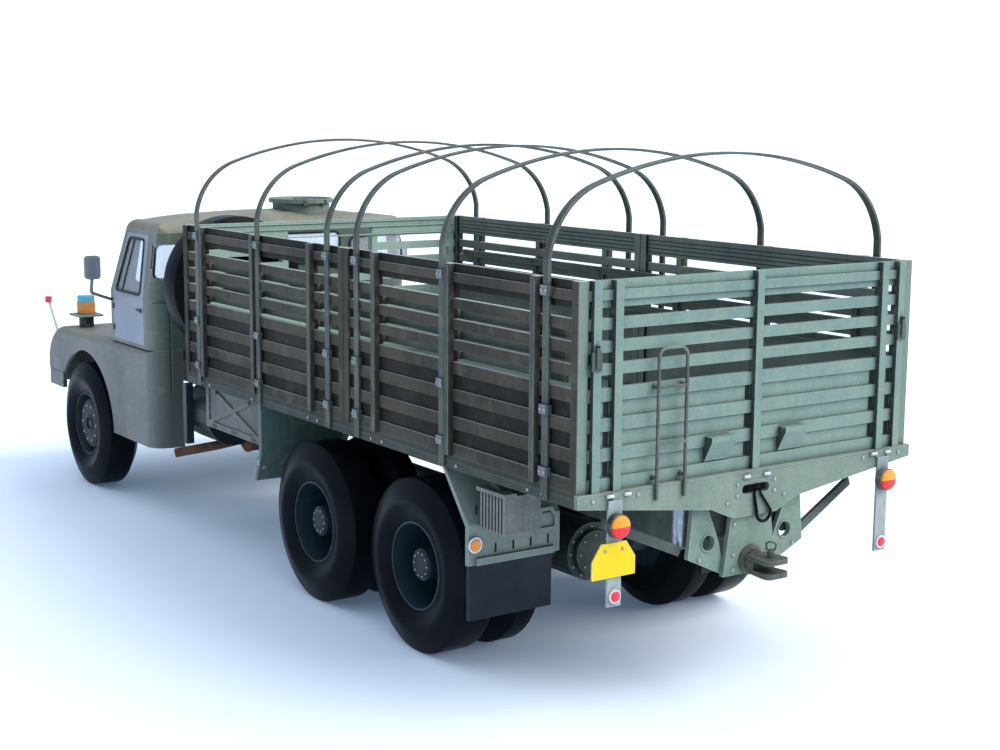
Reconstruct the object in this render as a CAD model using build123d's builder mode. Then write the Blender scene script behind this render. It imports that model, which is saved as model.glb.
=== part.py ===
"""Card model of a bonneted six-wheel-drive military cargo truck, at 1:25.

Axes: +X towards the nose, +Y to the truck's left, +Z up. The origin is on the
floor, midway along and across the model. All sizes are millimetres of the model.
"""
import os

from build123d import *

os.makedirs("parts", exist_ok=True)

# ---- lengths, from the tow jaw's tip to the bumper's face ----
jaw_reach = 9.5                     # tow jaw behind the tailgate
bed_length = 193.8
spare_bay = 29.2                    # from the bed to the cab's back, where the spare wheel stands
cab_to_axle = 60.4                  # cab's back to the front axle
nose_overhang = 41.6                # front axle to the bumper's face
rear_overhang = 66.1                # tailgate to the rear axle
bogie_spacing = 51.2
cab_length = 37.0                   # cab's back to the bonnet's joint

total_length = jaw_reach + bed_length + spare_bay + cab_to_axle + nose_overhang
tail_x = jaw_reach - total_length / 2
bed_front_x = tail_x + bed_length
cab_rear_x = bed_front_x + spare_bay
cowl_x = cab_rear_x + cab_length
front_axle_x = cab_rear_x + cab_to_axle
bumper_x = front_axle_x + nose_overhang
rear_axle_x = tail_x + rear_overhang
middle_axle_x = rear_axle_x + bogie_spacing

# ---- card and clearances ----
card = 1.0                          # folded card of walls and panels
plate = 1.2                         # laminated card of sills and brackets
fit = 0.05                          # running fit of wheel on stub, radial
gap = 0.3                           # free gap between separate bodies
seam = 0.15                         # open seam round doors and lids

# ---- wheels ----
tyre_r = 21.53
tyre_w = 11.4
tyre_sides = 44                     # facets of the rolled tread
flank_w, flank_drop = 3.0, 4.33     # sloping flank: across the tread and down the side
rim_r = 10.9                        # opening of the tyre
rim_wall = 0.9
rim_sides = 24
rear_face_y = 46.7                  # outer tyre's outer face
front_face_y = 47.1
twin_gap = 1.8
stub_r = 2.0
arm_r = 3.2                         # swinging half-axle tube
bell_r = 6.4                        # bell behind the wheel
bell_w = 6.0
axle_z = tyre_r

# ---- heights of frame, bed and cab ----
frame_lift = 14.0                   # axle line to the rails' lower face
rail_depth = 9.3
bearer_depth = 6.2
deck_thick = 1.4
wall_height = 44.0
cab_lift = 9.5                      # rails' top to the cab's floor
belt_rise, gutter_rise, roof_rise = 15.5, 37.5, 43.4      # over the cab's floor

rail_low = axle_z + frame_lift
rail_high = rail_low + rail_depth
deck_z = rail_high + bearer_depth + deck_thick
wall_top = deck_z + wall_height
cab_floor_z = rail_high + cab_lift
belt_z = cab_floor_z + belt_rise
gutter_z = cab_floor_z + gutter_rise
roof_z = cab_floor_z + roof_rise

# ---- widths ----
bed_half = 49.0
cab_half = 47.5                     # at the belt
gutter_half = 44.8
rail_y = 14.2
rail_w = 3.4

pieces = {}


# ===================================================================
# Wheels: a smooth tyre on a dished rim, turning on the half-axle's stub
# ===================================================================
def card_tyre(outer_y, side):
    """Rolled card drum with sloping flanks, from outer_y inwards, centred on its axle."""
    with BuildPart() as drum:
        with BuildSketch(Plane.XZ.offset(-side * outer_y)):
            RegularPolygon(tyre_r, tyre_sides, rotation=90)
        extrude(amount=side * tyre_w)
        for pick in (0, -1):
            end = drum.faces().filter_by(Axis.Y).sort_by(Axis.Y)[pick]
            chamfer(end.edges(), length=flank_drop, length2=flank_w, reference=end)
        with BuildSketch(Plane.XZ.offset(-side * outer_y)):
            RegularPolygon(rim_r + fit, tyre_sides, rotation=90)
        extrude(amount=side * tyre_w, mode=Mode.SUBTRACT)
    return drum.part


# Rim rings: radius, depth where it starts and ends inboard of the tyre's face, added or cut
bore_r = stub_r + fit
dish_r = rim_r - rim_wall
twin_depth = 2 * tyre_w + twin_gap - 0.6
front_depth = tyre_w - 0.4
front_bore = 2.2
twin_bore = 3.4
front_rings = [
    (rim_r, 0.5, front_depth, Mode.ADD), (dish_r, 0.5, 4.6, Mode.SUBTRACT),
    (8.0, 0.9, 4.6, Mode.ADD), (3.2, 0.2, 0.9, Mode.ADD),
]
twin_rings = [
    (rim_r, 0.6, twin_depth, Mode.ADD), (dish_r, 0.6, 11.2, Mode.SUBTRACT),
    (3.6, 1.2, 11.2, Mode.ADD),
]


def card_rim(outer_y, side, rings, bore_start, depth):
    """Dished rim from its rings, bored from behind for the stub."""
    with BuildPart() as rim:
        for radius, start, end, mode in rings:
            with BuildSketch(Plane.XZ.offset(-side * (outer_y - start))):
                RegularPolygon(radius, rim_sides, rotation=90)
            extrude(amount=side * (end - start), mode=mode)
        with BuildSketch(Plane.XZ.offset(-side * (outer_y - bore_start))):
            Circle(bore_r)
        extrude(amount=side * (depth - bore_start), mode=Mode.SUBTRACT)
    return rim.part


# Wheel stations: name, axle x, outer face y, rings, bore's start, rim's depth, tyres side by side
wheel_rows = [
    ("front", front_axle_x, front_face_y, front_rings, front_bore, front_depth, 1),
    ("middle", middle_axle_x, rear_face_y, twin_rings, twin_bore, twin_depth, 2),
    ("rear", rear_axle_x, rear_face_y, twin_rings, twin_bore, twin_depth, 2),
]
for axle, axle_x, face_y, rings, bore_start, depth, tyres in wheel_rows:
    for hand, side in (("left", 1), ("right", -1)):
        with BuildPart() as tyre:
            for twin in range(tyres):
                add(card_tyre(face_y - twin * (tyre_w + twin_gap), side))
        place = Location((axle_x, 0, axle_z))
        pieces[f"{axle}_{hand}_tyre"] = tyre.part.moved(place)
        pieces[f"{axle}_{hand}_rim"] = card_rim(face_y, side, rings, bore_start, depth).moved(place)

# ===================================================================
# Backbone tube, final drives and the swinging half-axles
# ===================================================================
tube_r, tube_drop = 4.5, 13.0       # tube's centre under the rails' lower face
drive_r, drive_drop = 7.6, 1.5      # final drive's centre under the axle line
drive_length = 17.2
boss_r, boss_y = 4.4, 9.2           # bosses that the half-axles swing from
cover_length = 1.6
tube_z = rail_low - tube_drop
drive_z = axle_z - drive_drop
saddle_xs = (rear_axle_x + bogie_spacing / 2, bed_front_x + 2.2, cowl_x + 2.0)
with BuildPart() as backbone:
    with BuildSketch(Plane.YZ.offset(rear_axle_x)):
        with Locations((0, tube_z)):
            RegularPolygon(tube_r, 20)
    extrude(amount=front_axle_x - rear_axle_x)
    for housing_x in (rear_axle_x, middle_axle_x, front_axle_x):
        with BuildSketch(Plane.YZ.offset(housing_x - drive_length / 2)):
            with Locations((0, drive_z)):
                RegularPolygon(drive_r, 20)
        extrude(amount=drive_length)
        with BuildSketch(Plane.XZ.offset(-boss_y)):
            with Locations((housing_x, axle_z)):
                RegularPolygon(boss_r, 12)
        extrude(amount=2 * boss_y)
    # stepped cover on the rear housing
    with BuildSketch(Plane.YZ.offset(rear_axle_x - drive_length / 2)):
        with Locations((0, drive_z)):
            RegularPolygon(drive_r - 1.8, 20)
    extrude(amount=-cover_length)
    # saddles that tie the tube to the ladder frame
    for saddle_x in saddle_xs:
        with BuildSketch(Plane.YZ.offset(saddle_x - 1.5)):
            with BuildLine():
                Polyline((-rail_y, rail_low), (-tube_r, tube_z), (tube_r, tube_z),
                         (rail_y, rail_low), close=True)
            make_face()
        extrude(amount=3.0)
pieces["backbone_tube"] = backbone.part

with BuildPart() as half_axles:
    for _, axle_x, face_y, _, bore_start, depth, _ in wheel_rows:
        for side in (1, -1):
            hub_y = face_y - depth - gap                # bell's face, just clear of the rim
            stub_y = face_y - bore_start - gap
            with BuildSketch(Plane.XZ.offset(-side * boss_y)):
                with Locations((axle_x, axle_z)):
                    RegularPolygon(arm_r, 8)
            extrude(amount=-side * (hub_y - boss_y))
            with BuildSketch(Plane.XZ.offset(-side * (hub_y - bell_w))):
                with Locations((axle_x, axle_z)):
                    RegularPolygon(bell_r, 12)
            extrude(amount=-side * bell_w)
            with BuildSketch(Plane.XZ.offset(-side * hub_y)):
                with Locations((axle_x, axle_z)):
                    Circle(stub_r)
            extrude(amount=-side * (stub_y - hub_y))
pieces["half_axles"] = half_axles.part

# ===================================================================
# Ladder frame: two channel rails and their cross members
# ===================================================================
channel_wall = 1.3
rail_rear_x = tail_x + 2.8
rail_front_x = bumper_x - 9.0
rail_mid_z = (rail_low + rail_high) / 2
member_xs = (rail_rear_x + 1.7, rear_axle_x + bogie_spacing / 2, middle_axle_x + 32.7,
             bed_front_x + 11.2, cowl_x + 2.0, rail_front_x - 4.0)
with BuildPart() as frame_rails:
    for side in (1, -1):
        with BuildSketch(Plane.YZ.offset(rail_rear_x)):
            with Locations((side * rail_y, rail_mid_z)):
                Rectangle(rail_w, rail_depth)
            with Locations((side * (rail_y - channel_wall), rail_mid_z)):
                Rectangle(rail_w, rail_depth - 2 * channel_wall, mode=Mode.SUBTRACT)
        extrude(amount=rail_front_x - rail_rear_x)
    for member_x in member_xs:
        with Locations((member_x, 0, rail_mid_z)):
            Box(3.0, 2 * rail_y, rail_depth - 2 * channel_wall)
pieces["frame_rails"] = frame_rails.part

# ===================================================================
# Bed floor on its tapered cross bearers
# ===================================================================
side_outer = bed_half + 0.3
lining = 0.4                        # planking laid between the walls
lining_margin = 3.2
edge_rail_h, edge_rail_w = 3.2, 1.5
bearer_w = 3.0
bearer_end = 3.8                    # bearer's depth at its tip
bearer_xs = (tail_x + 6.0, tail_x + 26.0, rear_axle_x - 4.1, rear_axle_x + bogie_spacing / 2,
             middle_axle_x + 2.7, middle_axle_x + 31.3, bed_front_x - 4.3)
bed_mid_x = tail_x + bed_length / 2
under_deck = deck_z - deck_thick
with BuildPart() as bed_floor:
    with BuildSketch(Plane.XY.offset(under_deck)):
        with Locations((bed_mid_x, 0)):
            Rectangle(bed_length, 2 * bed_half)
    extrude(amount=deck_thick)
    with BuildSketch(Plane.XY.offset(deck_z)):
        with Locations((bed_mid_x, 0)):
            Rectangle(bed_length - 2 * lining_margin, 2 * (bed_half - lining_margin))
    extrude(amount=lining)
pieces["bed_floor"] = bed_floor.part

with BuildPart() as bed_bearers:
    for bearer_x in bearer_xs:
        with BuildSketch(Plane.YZ.offset(bearer_x - bearer_w / 2)):
            with BuildLine():
                Polyline((-bed_half + edge_rail_w + seam, under_deck),
                         (-bed_half + edge_rail_w + seam, under_deck - bearer_end + deck_thick),
                         (-rail_y - 6, rail_high), (rail_y + 6, rail_high),
                         (bed_half - edge_rail_w - seam, under_deck - bearer_end + deck_thick),
                         (bed_half - edge_rail_w - seam, under_deck), close=True)
            make_face()
        extrude(amount=bearer_w)
    for side in (1, -1):
        with BuildSketch(Plane.XY.offset(under_deck)):
            with Locations((bed_mid_x, side * (bed_half - edge_rail_w / 2))):
                Rectangle(bed_length, edge_rail_w)
        extrude(amount=-(edge_rail_h - deck_thick))
pieces["bed_bearers"] = bed_bearers.part

# ===================================================================
# Bed walls: lower boards, slats and a top board, carried by posts
# ===================================================================
board_back = 0.8                    # backing board
board_rise = 0.6                    # raised bands on the backing
slat_thick = board_back + board_rise
post_w = 2.0
post_rise = 1.0
corner_post = 2.4                   # end posts of the sides
lower_h = 21.7                      # lower board
band_h, bands = 2.8, 4
top_board_h = 5.7
slat_h, slats = 2.4, 3
slat_gap, top_gap = 2.7, 2.1        # under the first slat and under the top board
band_pitch = (lower_h - band_h) / (bands - 1)
top_board_low = wall_top - top_board_h
slat_low = deck_z + lower_h + slat_gap
slat_pitch = (top_board_low - top_gap - slat_h - slat_low) / (slats - 1)

# Rows of a wall: low z, high z, kind of board
wall_rows = [(deck_z, deck_z + lower_h, "backing")]
for band in range(bands):
    wall_rows.append((deck_z + band * band_pitch, deck_z + band * band_pitch + band_h, "band"))
for slat in range(slats):
    wall_rows.append((slat_low + slat * slat_pitch, slat_low + slat * slat_pitch + slat_h, "slat"))
wall_rows.append((top_board_low, wall_top, "backing"))
wall_rows.append((top_board_low + 1.6, wall_top - 2.0, "band"))

# Depth of each kind: from the inner face outwards, start and end
inner_face = bed_half - slat_thick
board_depths = {"backing": (0.0, board_back), "band": (0.0, slat_thick), "slat": (0.0, slat_thick)}


def wall_section(inner, outward):
    """Sketch outlines of a wall's boards, in a plane whose second axis is Z."""
    for low, high, kind in wall_rows:
        start, end = board_depths[kind]
        with Locations((inner + outward * (start + end) / 2, (low + high) / 2)):
            Rectangle(end - start, high - low)


# Posts along a side
first_post, last_post, post_count = 15.0, 13.5, 6
post_pitch = (bed_length - first_post - last_post) / (post_count - 1)
side_posts = [tail_x + first_post + post * post_pitch for post in range(post_count)]
wall_mid_z = (deck_z + wall_top) / 2
for hand, side in (("left", 1), ("right", -1)):
    with BuildPart() as bed_side:
        for start, end in ((tail_x, bed_mid_x - seam), (bed_mid_x + seam, bed_front_x)):
            with BuildSketch(Plane.YZ.offset(start)):
                wall_section(side * inner_face, side)
            extrude(amount=end - start)
            for post in (start + corner_post / 2, end - corner_post / 2):
                with Locations((post, side * (side_outer - corner_post / 2), wall_mid_z)):
                    Box(corner_post, corner_post, wall_height)
        for post_x in side_posts:
            with Locations((post_x, side * (inner_face + (slat_thick + post_rise) / 2), wall_mid_z)):
                Box(post_w, post_rise + slat_thick, wall_height)
    pieces[f"side_{hand}"] = bed_side.part

# End walls stand between the sides' corner posts
end_half = side_outer - corner_post - seam
end_post_y = end_half - post_w / 2 - 0.6
stop_y, stop_w, stop_low, stop_high = 11.0, 7.0, 3.1, 8.6
with BuildPart() as tailgate:
    with BuildSketch(Plane.XZ.offset(-end_half)):
        wall_section(tail_x + slat_thick, -1)
    extrude(amount=2 * end_half)
    for post_y in (-end_post_y, -39.5, 0.0, 39.5, end_post_y):
        with Locations((tail_x + (slat_thick - post_rise) / 2, post_y, wall_mid_z)):
            Box(post_rise + slat_thick, post_w, wall_height)
    # wedge stops below the middle of the gate
    for side in (1, -1):
        with BuildSketch(Plane.XZ.offset(-side * stop_y - stop_w / 2)):
            with BuildLine():
                Polyline((tail_x, deck_z + stop_low), (tail_x - 2.4, deck_z + stop_high - 1.0),
                         (tail_x - 2.4, deck_z + stop_high), (tail_x, deck_z + stop_high), close=True)
            make_face()
        extrude(amount=stop_w)
pieces["tailgate"] = tailgate.part

window_half, window_low, window_high = 15.0, 28.6, 41.6   # opening behind the cab, over the deck
with BuildPart() as front_wall:
    with BuildSketch(Plane.XZ.offset(-end_half)):
        wall_section(bed_front_x - slat_thick, 1)
    extrude(amount=2 * end_half)
    for post_y in (-end_post_y, -window_half - post_w / 2, window_half + post_w / 2, end_post_y):
        with Locations((bed_front_x - (slat_thick - post_rise) / 2, post_y, wall_mid_z)):
            Box(post_rise + slat_thick, post_w, wall_height)
    with Locations((bed_front_x, 0, deck_z + (window_low + window_high) / 2)):
        Box(8, 2 * window_half, window_high - window_low, mode=Mode.SUBTRACT)
pieces["front_wall"] = front_wall.part

# Ladder hooked over the tailgate's left half
ladder_y = (21.5, 29.3)
rod_r = 0.5
ladder_x = tail_x - post_rise - 0.2 - rod_r
ladder_low, ladder_high = deck_z - 3.3, deck_z + 29.2
rung_rises = (8.8, 20.9)
hook_rises = (1.4, 20.9)
with BuildPart() as ladder:
    with BuildLine() as rail_line:
        FilletPolyline((ladder_x, ladder_y[0], ladder_low), (ladder_x, ladder_y[0], ladder_high),
                       (ladder_x, ladder_y[1], ladder_high), (ladder_x, ladder_y[1], ladder_low), radius=2.0)
    with BuildSketch(Plane.XY.offset(ladder_low)):
        with Locations((ladder_x, ladder_y[0])):
            Rectangle(2 * rod_r, 2 * rod_r)
    sweep(path=rail_line.line)
    for rung in rung_rises:
        with Locations((ladder_x, sum(ladder_y) / 2, deck_z + rung)):
            Box(2 * rod_r, ladder_y[1] - ladder_y[0], 2 * rod_r)
    for hook_y in ladder_y:
        for hook in hook_rises:
            with Locations(((tail_x + ladder_x) / 2, hook_y, deck_z + hook)):
                Box(tail_x - ladder_x, 1.0, 1.0)
pieces["ladder"] = ladder.part

# Folding benches: three slats on brackets along the inside of each side
bench_slat_h, bench_slat_t = 1.9, 0.8
bench_low = slat_low - slat_gap / 2     # centre of the lowest, behind the side's lowest gap
bracket_depth = 1.2
with BuildPart() as benches:
    for side in (1, -1):
        for slat in range(slats):
            with Locations((bed_mid_x, side * (inner_face - bracket_depth - bench_slat_t / 2),
                            bench_low + slat * slat_pitch)):
                Box(bed_length - 16, bench_slat_t, bench_slat_h)
        for bracket_x in side_posts:
            with Locations((bracket_x, side * (inner_face - bracket_depth / 2), bench_low + slat_pitch)):
                Box(1.6, bracket_depth, 2 * slat_pitch + bench_slat_h)
pieces["benches"] = benches.part

# ===================================================================
# Canvas hoops: flat strips standing outside the boards, in three pairs
# ===================================================================
hoop_w, hoop_t = 2.0, 0.6
hoop_half = bed_half + hoop_t
hoop_low = deck_z - 3.0
hoop_eave, hoop_top = deck_z + 48.1, deck_z + 69.4
shoulder_mid = (hoop_half - 3.0, deck_z + 55.8)
shoulder_end = (hoop_half - 12.1, deck_z + 63.0)
clip_rises = (3.1, 16.4, 41.4)      # clips that hold a strip to the boards
# The outer pairs stand beside posts, behind or ahead of them; the middle pair stands on the bed's joint
hoop_pairs = [
    ("rear", (side_posts[0] - 4.0, side_posts[1] + 2.94)),
    ("middle", (bed_mid_x - 6.9, bed_mid_x + 8.1)),
    ("front", (side_posts[-2] - 2.74, side_posts[-1] + 3.4)),
]
for name, stations in hoop_pairs:
    with BuildPart() as hoops:
        for station in stations:
            with BuildSketch(Plane.YZ.offset(station - hoop_w / 2)):
                with BuildLine():
                    Line((hoop_half, hoop_low - 5), (hoop_half, hoop_eave))
                    ThreePointArc((hoop_half, hoop_eave), shoulder_mid, shoulder_end)
                    ThreePointArc(shoulder_end, (0, hoop_top), (-shoulder_end[0], shoulder_end[1]))
                    ThreePointArc((-shoulder_end[0], shoulder_end[1]), (-shoulder_mid[0], shoulder_mid[1]),
                                  (-hoop_half, hoop_eave))
                    Line((-hoop_half, hoop_eave), (-hoop_half, hoop_low - 5))
                    Line((-hoop_half, hoop_low - 5), (hoop_half, hoop_low - 5))
                make_face()
                offset(amount=-hoop_t, mode=Mode.SUBTRACT)
                with Locations((0, hoop_low - 5)):
                    Rectangle(3 * hoop_half, 10, mode=Mode.SUBTRACT)
            extrude(amount=hoop_w)
            for side in (1, -1):
                for rise in clip_rises:
                    with Locations((station, side * (bed_half + 0.5), deck_z + rise)):
                        Box(hoop_w + 1.2, 1.0, 2.0)
    pieces[f"hoops_{name}"] = hoops.part

# ===================================================================
# Rear end: sill plate, hitch frame and tow jaw
# ===================================================================
sill_half, sill_side = bed_half + 0.9, 2.8
sill_drop, sill_keel = 7.7, 10.5    # where the sill narrows, and its lowest edge, under the deck
strap_half = 6.5
slot_drop = 4.4
sill_outline = [
    (-sill_half, deck_z), (-sill_half, deck_z - sill_side), (-2 * strap_half, deck_z - sill_drop),
    (-strap_half, deck_z - sill_keel), (strap_half, deck_z - sill_keel),
    (2 * strap_half, deck_z - sill_drop), (sill_half, deck_z - sill_side), (sill_half, deck_z),
]
with BuildPart() as rear_sill:
    with BuildSketch(Plane.YZ.offset(tail_x - plate)):
        with BuildLine():
            Polyline(*sill_outline, close=True)
        make_face()
        with Locations((0, deck_z - slot_drop)):
            RectangleRounded(8.2, 2.2, 1.0, mode=Mode.SUBTRACT)
    extrude(amount=plate)
    # hinge plates at the tailgate's posts
    for post_y in (-39.5, 39.5):
        with Locations((tail_x - plate - 0.2, post_y, deck_z - 1.0)):
            Box(0.4, 3.0, 1.5)
pieces["rear_sill"] = rear_sill.part

jaw_z = rail_low - 4.3
hitch_low = jaw_z - 2.8
hitch_half = 7.9
upright_y = rail_y + 0.8
with BuildPart() as hitch_frame:
    with BuildSketch(Plane.YZ.offset(tail_x)):
        with BuildLine():
            Polyline((-strap_half + 0.5, deck_z - sill_keel), (-hitch_half, hitch_low),
                     (hitch_half, hitch_low), (strap_half - 0.5, deck_z - sill_keel), close=True)
        make_face()
    extrude(amount=plate)
    # gussets that spread from the plate to the rails' ends, each with an upright edge
    for side in (1, -1):
        with BuildSketch(Plane.YZ.offset(tail_x + plate)):
            with BuildLine():
                Polyline((side * strap_half, hitch_low), (side * (upright_y + 2.4), hitch_low + 5.1),
                         (side * (upright_y + 1.0), deck_z - deck_thick - 4.0), (side * (upright_y - 3.0), rail_high),
                         (side * (strap_half + 2.0), rail_low + 1.0), close=True)
            make_face()
            with Locations((side * 11.6, rail_low + 1.0)):
                Circle(1.8, mode=Mode.SUBTRACT)
        extrude(amount=plate)
pieces["hitch_frame"] = hitch_frame.part

jaw_root, jaw_tip, jaw_h, jaw_mouth = 2.6, 3.6, 4.2, 2.0
pin_r, pin_reach = 0.8, 6.6
with BuildPart() as tow_jaw:
    with BuildSketch(Plane.YZ.offset(tail_x)):
        with Locations((0, jaw_z)):
            RegularPolygon(jaw_root, 12)
    extrude(amount=-2.0)
    with BuildSketch(Plane.XY.offset(jaw_z - jaw_h / 2)):
        with BuildLine():
            Polyline((tail_x - 2, -jaw_root), (tail_x - jaw_reach, -jaw_tip), (tail_x - jaw_reach, jaw_tip),
                     (tail_x - 2, jaw_root), close=True)
        make_face()
        fillet(vertices().sort_by(Axis.X)[:2], 1.6)
    extrude(amount=jaw_h)
    with Locations((tail_x - jaw_reach + 2.0, 0, jaw_z)):
        Box(7.0, 3 * jaw_tip, jaw_mouth, mode=Mode.SUBTRACT)
    with BuildSketch(Plane.XY.offset(jaw_z - jaw_h / 2 - 0.6)):
        with Locations((tail_x - pin_reach, 0)):
            RegularPolygon(pin_r, 8)
    extrude(amount=jaw_h + 2.4)
pieces["tow_jaw"] = tow_jaw.part

# Tail strips with their lamps, and the blank plate
strip_y, strip_w, strip_t = bed_half - 8.6, 3.6, 0.6
strip_high, strip_low = deck_z - 1.8, deck_z - 24.6
lamp_r, lamp_z, lamp_depth = 2.6, deck_z - 7.1, 1.8
reflector_r, reflector_z, reflector_depth = 1.5, strip_low + 2.2, 0.5
with BuildPart() as tail_lamps:
    for side in (1, -1):
        with BuildSketch(Plane.YZ.offset(tail_x - plate - strip_t)):
            with Locations((side * strip_y, (strip_low + strip_high) / 2)):
                Rectangle(strip_w, strip_high - strip_low)
        extrude(amount=strip_t)
        for disc_r, disc_z, depth in ((lamp_r, lamp_z, lamp_depth), (reflector_r, reflector_z, reflector_depth)):
            with BuildSketch(Plane.YZ.offset(tail_x - plate - strip_t)):
                with Locations((side * strip_y, disc_z)):
                    RegularPolygon(disc_r, 20)
            extrude(amount=-depth)
pieces["tail_lamps"] = tail_lamps.part

plate_y0, plate_y1 = strip_y - 5.2, strip_y + 6.2
plate_low, plate_mid, plate_high = 34.3, 38.2, 41.7
with BuildPart() as number_plate:
    with BuildSketch(Plane.YZ.offset(tail_x - plate - strip_t - 0.4)):
        with BuildLine():
            Polyline((plate_y0, plate_low), (plate_y1, plate_low), (plate_y1, plate_mid),
                     (plate_y1 - 2.4, plate_high), (plate_y0 + 2.4, plate_high), (plate_y0, plate_mid),
                     close=True)
        make_face()
    extrude(amount=0.4)
pieces["number_plate"] = number_plate.part

# ===================================================================
# Mudguards, flaps and what hangs under the bed
# ===================================================================
guard_inner, guard_outer = 22.6, bed_half - 0.4
guard_top = under_deck - edge_rail_h + deck_thick
guard_low = 27.5
rear_guard_x = rear_axle_x - 25.1
front_guard_x = middle_axle_x + 28.2
guard_kink = rail_low + 1.5
bead = 0.8
guard_outlines = [
    [(rear_guard_x + 10.0, guard_top), (rear_guard_x, guard_kink), (rear_guard_x, guard_low),
     (rear_guard_x + plate, guard_low), (rear_guard_x + plate, guard_kink - 0.4),
     (rear_guard_x + 10.0 + plate, guard_top)],
    [(front_guard_x, guard_top), (front_guard_x, guard_kink - 1.8), (front_guard_x + 3.0, guard_low - 0.5),
     (front_guard_x + 3.0 + plate, guard_low - 0.5), (front_guard_x + plate, guard_kink - 1.6),
     (front_guard_x + plate, guard_top)],
]
with BuildPart() as mudguards:
    for side in (1, -1):
        guard_mid = side * (guard_inner + guard_outer) / 2
        guard_width = guard_outer - guard_inner
        for outline in guard_outlines:
            with BuildSketch(Plane.XZ.offset(-guard_mid - guard_width / 2)):
                with BuildLine():
                    Polyline(*outline, close=True)
                make_face()
            extrude(amount=guard_width)
        # rolled bead and raised locker frame on the rear guard's back
        with Locations((rear_guard_x - bead / 2, guard_mid, guard_low + bead)):
            Box(bead, guard_width - 4, 2 * bead)
        with BuildSketch(Plane.YZ.offset(rear_guard_x)):
            with BuildLine():
                Polyline((side * 23.6, 33.0), (side * 30.0, 33.0), (side * 30.0, 36.4), (side * 28.4, 38.6),
                         (side * 25.2, 38.6), (side * 23.6, 36.4), close=True)
            make_face()
            offset(amount=-0.8, mode=Mode.SUBTRACT)
        extrude(amount=-0.5)
        # reflectors at the outer edge of both guards
        for reflector_x, reflector_face in ((rear_guard_x, -1), (front_guard_x + 2.4, -1)):
            with BuildSketch(Plane.YZ.offset(reflector_x)):
                with Locations((side * (guard_outer - 1.6), guard_kink - 4.6)):
                    RegularPolygon(1.9, 16)
            extrude(amount=reflector_face * 0.6)
pieces["mudguards"] = mudguards.part

flap_inner, flap_outer = guard_inner + 1.4, guard_outer - 1.0
flap_low, flap_high = 14.0, 29.0
with BuildPart() as mud_flaps:
    for side in (1, -1):
        with Locations((rear_guard_x + plate + 0.5, side * (flap_inner + flap_outer) / 2,
                        (flap_low + flap_high) / 2)):
            Box(1.0, flap_outer - flap_inner, flap_high - flap_low)
pieces["mud_flaps"] = mud_flaps.part

# Ribbed stowage box hung under the bed's left rear corner
rack_x0, rack_x1 = rear_guard_x - 10.5, rear_guard_x - 1.0
rack_inner, rack_outer = bed_half - 13.0, bed_half - 3.6
rack_low, rack_high = rail_low + 1.0, rail_low + 9.8
rib_t, ribs = 0.6, 8
with BuildPart() as chock_rack:
    with Locations(((rack_x0 + rack_x1) / 2, (rack_inner + rack_outer) / 2, (rack_low + rack_high) / 2)):
        Box(rack_x1 - rack_x0, rack_outer - rack_inner, rack_high - rack_low)
    rib_pitch = (rack_x1 - rack_x0 - rib_t) / (ribs - 1)
    for rib in range(ribs):
        with Locations((rack_x0 + rib_t / 2 + rib * rib_pitch, rack_outer + rib_t / 2,
                        (rack_low + rack_high) / 2)):
            Box(rib_t, rib_t, rack_high - rack_low)
    with Locations(((rack_x0 + rack_x1) / 2, rack_outer - 0.5, rack_high + 0.4)):
        Box(rack_x1 - rack_x0 + 1.6, 3.4, 0.8)
    for strap_x in (rack_x0 + 1.5, rack_x1 - 1.5):
        with Locations((strap_x, rack_inner + 1.0, (rack_high + under_deck) / 2)):
            Box(1.2, 1.0, under_deck - rack_high)
pieces["chock_rack"] = chock_rack.part

# Flat locker with a framed, cross-braced door
locker_x0, locker_x1 = middle_axle_x + 33.5, bed_front_x - 6.5
side_bay = rail_y + 5.8               # room from here out for what hangs beside the rails
locker_inner, locker_outer = side_bay, bed_half - 3.6
locker_low, locker_high = 36.3, guard_top + 1.2
locker_mid_x, locker_mid_z = (locker_x0 + locker_x1) / 2, (locker_low + locker_high) / 2
brace_w, brace_t = 1.0, 0.5
with BuildPart() as tool_box:
    with Locations((locker_mid_x, (locker_inner + locker_outer) / 2, locker_mid_z)):
        Box(locker_x1 - locker_x0, locker_outer - locker_inner, locker_high - locker_low)
    with BuildSketch(Plane.XZ.offset(-locker_outer)):
        with Locations((locker_mid_x, locker_mid_z)):
            Rectangle(locker_x1 - locker_x0, locker_high - locker_low)
            Rectangle(locker_x1 - locker_x0 - 3.4, locker_high - locker_low - 3.4, mode=Mode.SUBTRACT)
        for start_z, end_z in ((locker_low + 1.2, locker_high - 1.2), (locker_high - 1.2, locker_low + 1.2)):
            with BuildLine():
                Polyline((locker_x0 + 1.2, start_z - brace_w / 2), (locker_x1 - 1.2, end_z - brace_w / 2),
                         (locker_x1 - 1.2, end_z + brace_w / 2), (locker_x0 + 1.2, start_z + brace_w / 2),
                         close=True)
            make_face()
    extrude(amount=-brace_t)
pieces["tool_box"] = tool_box.part

fuel_inner, fuel_outer = side_bay, bed_half - 3.0
fuel_y, fuel_w = (fuel_inner + fuel_outer) / 2, fuel_outer - fuel_inner
fuel_z, fuel_h = 39.0, 20.0
fuel_x0, fuel_x1 = middle_axle_x + 34.7, bed_front_x - 7.8
with BuildPart() as fuel_tank:
    with BuildSketch(Plane.YZ.offset(fuel_x0)):
        with Locations((-fuel_y, fuel_z)):
            RectangleRounded(fuel_w, fuel_h, 6.0)
    extrude(amount=fuel_x1 - fuel_x0)
    for strap_x in (fuel_x0 + 8, fuel_x1 - 8):
        with Locations((strap_x, -fuel_y, (fuel_z + fuel_h / 2 + under_deck) / 2)):
            Box(2.0, 20.0, under_deck - fuel_z - fuel_h / 2)
pieces["fuel_tank"] = fuel_tank.part

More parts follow.
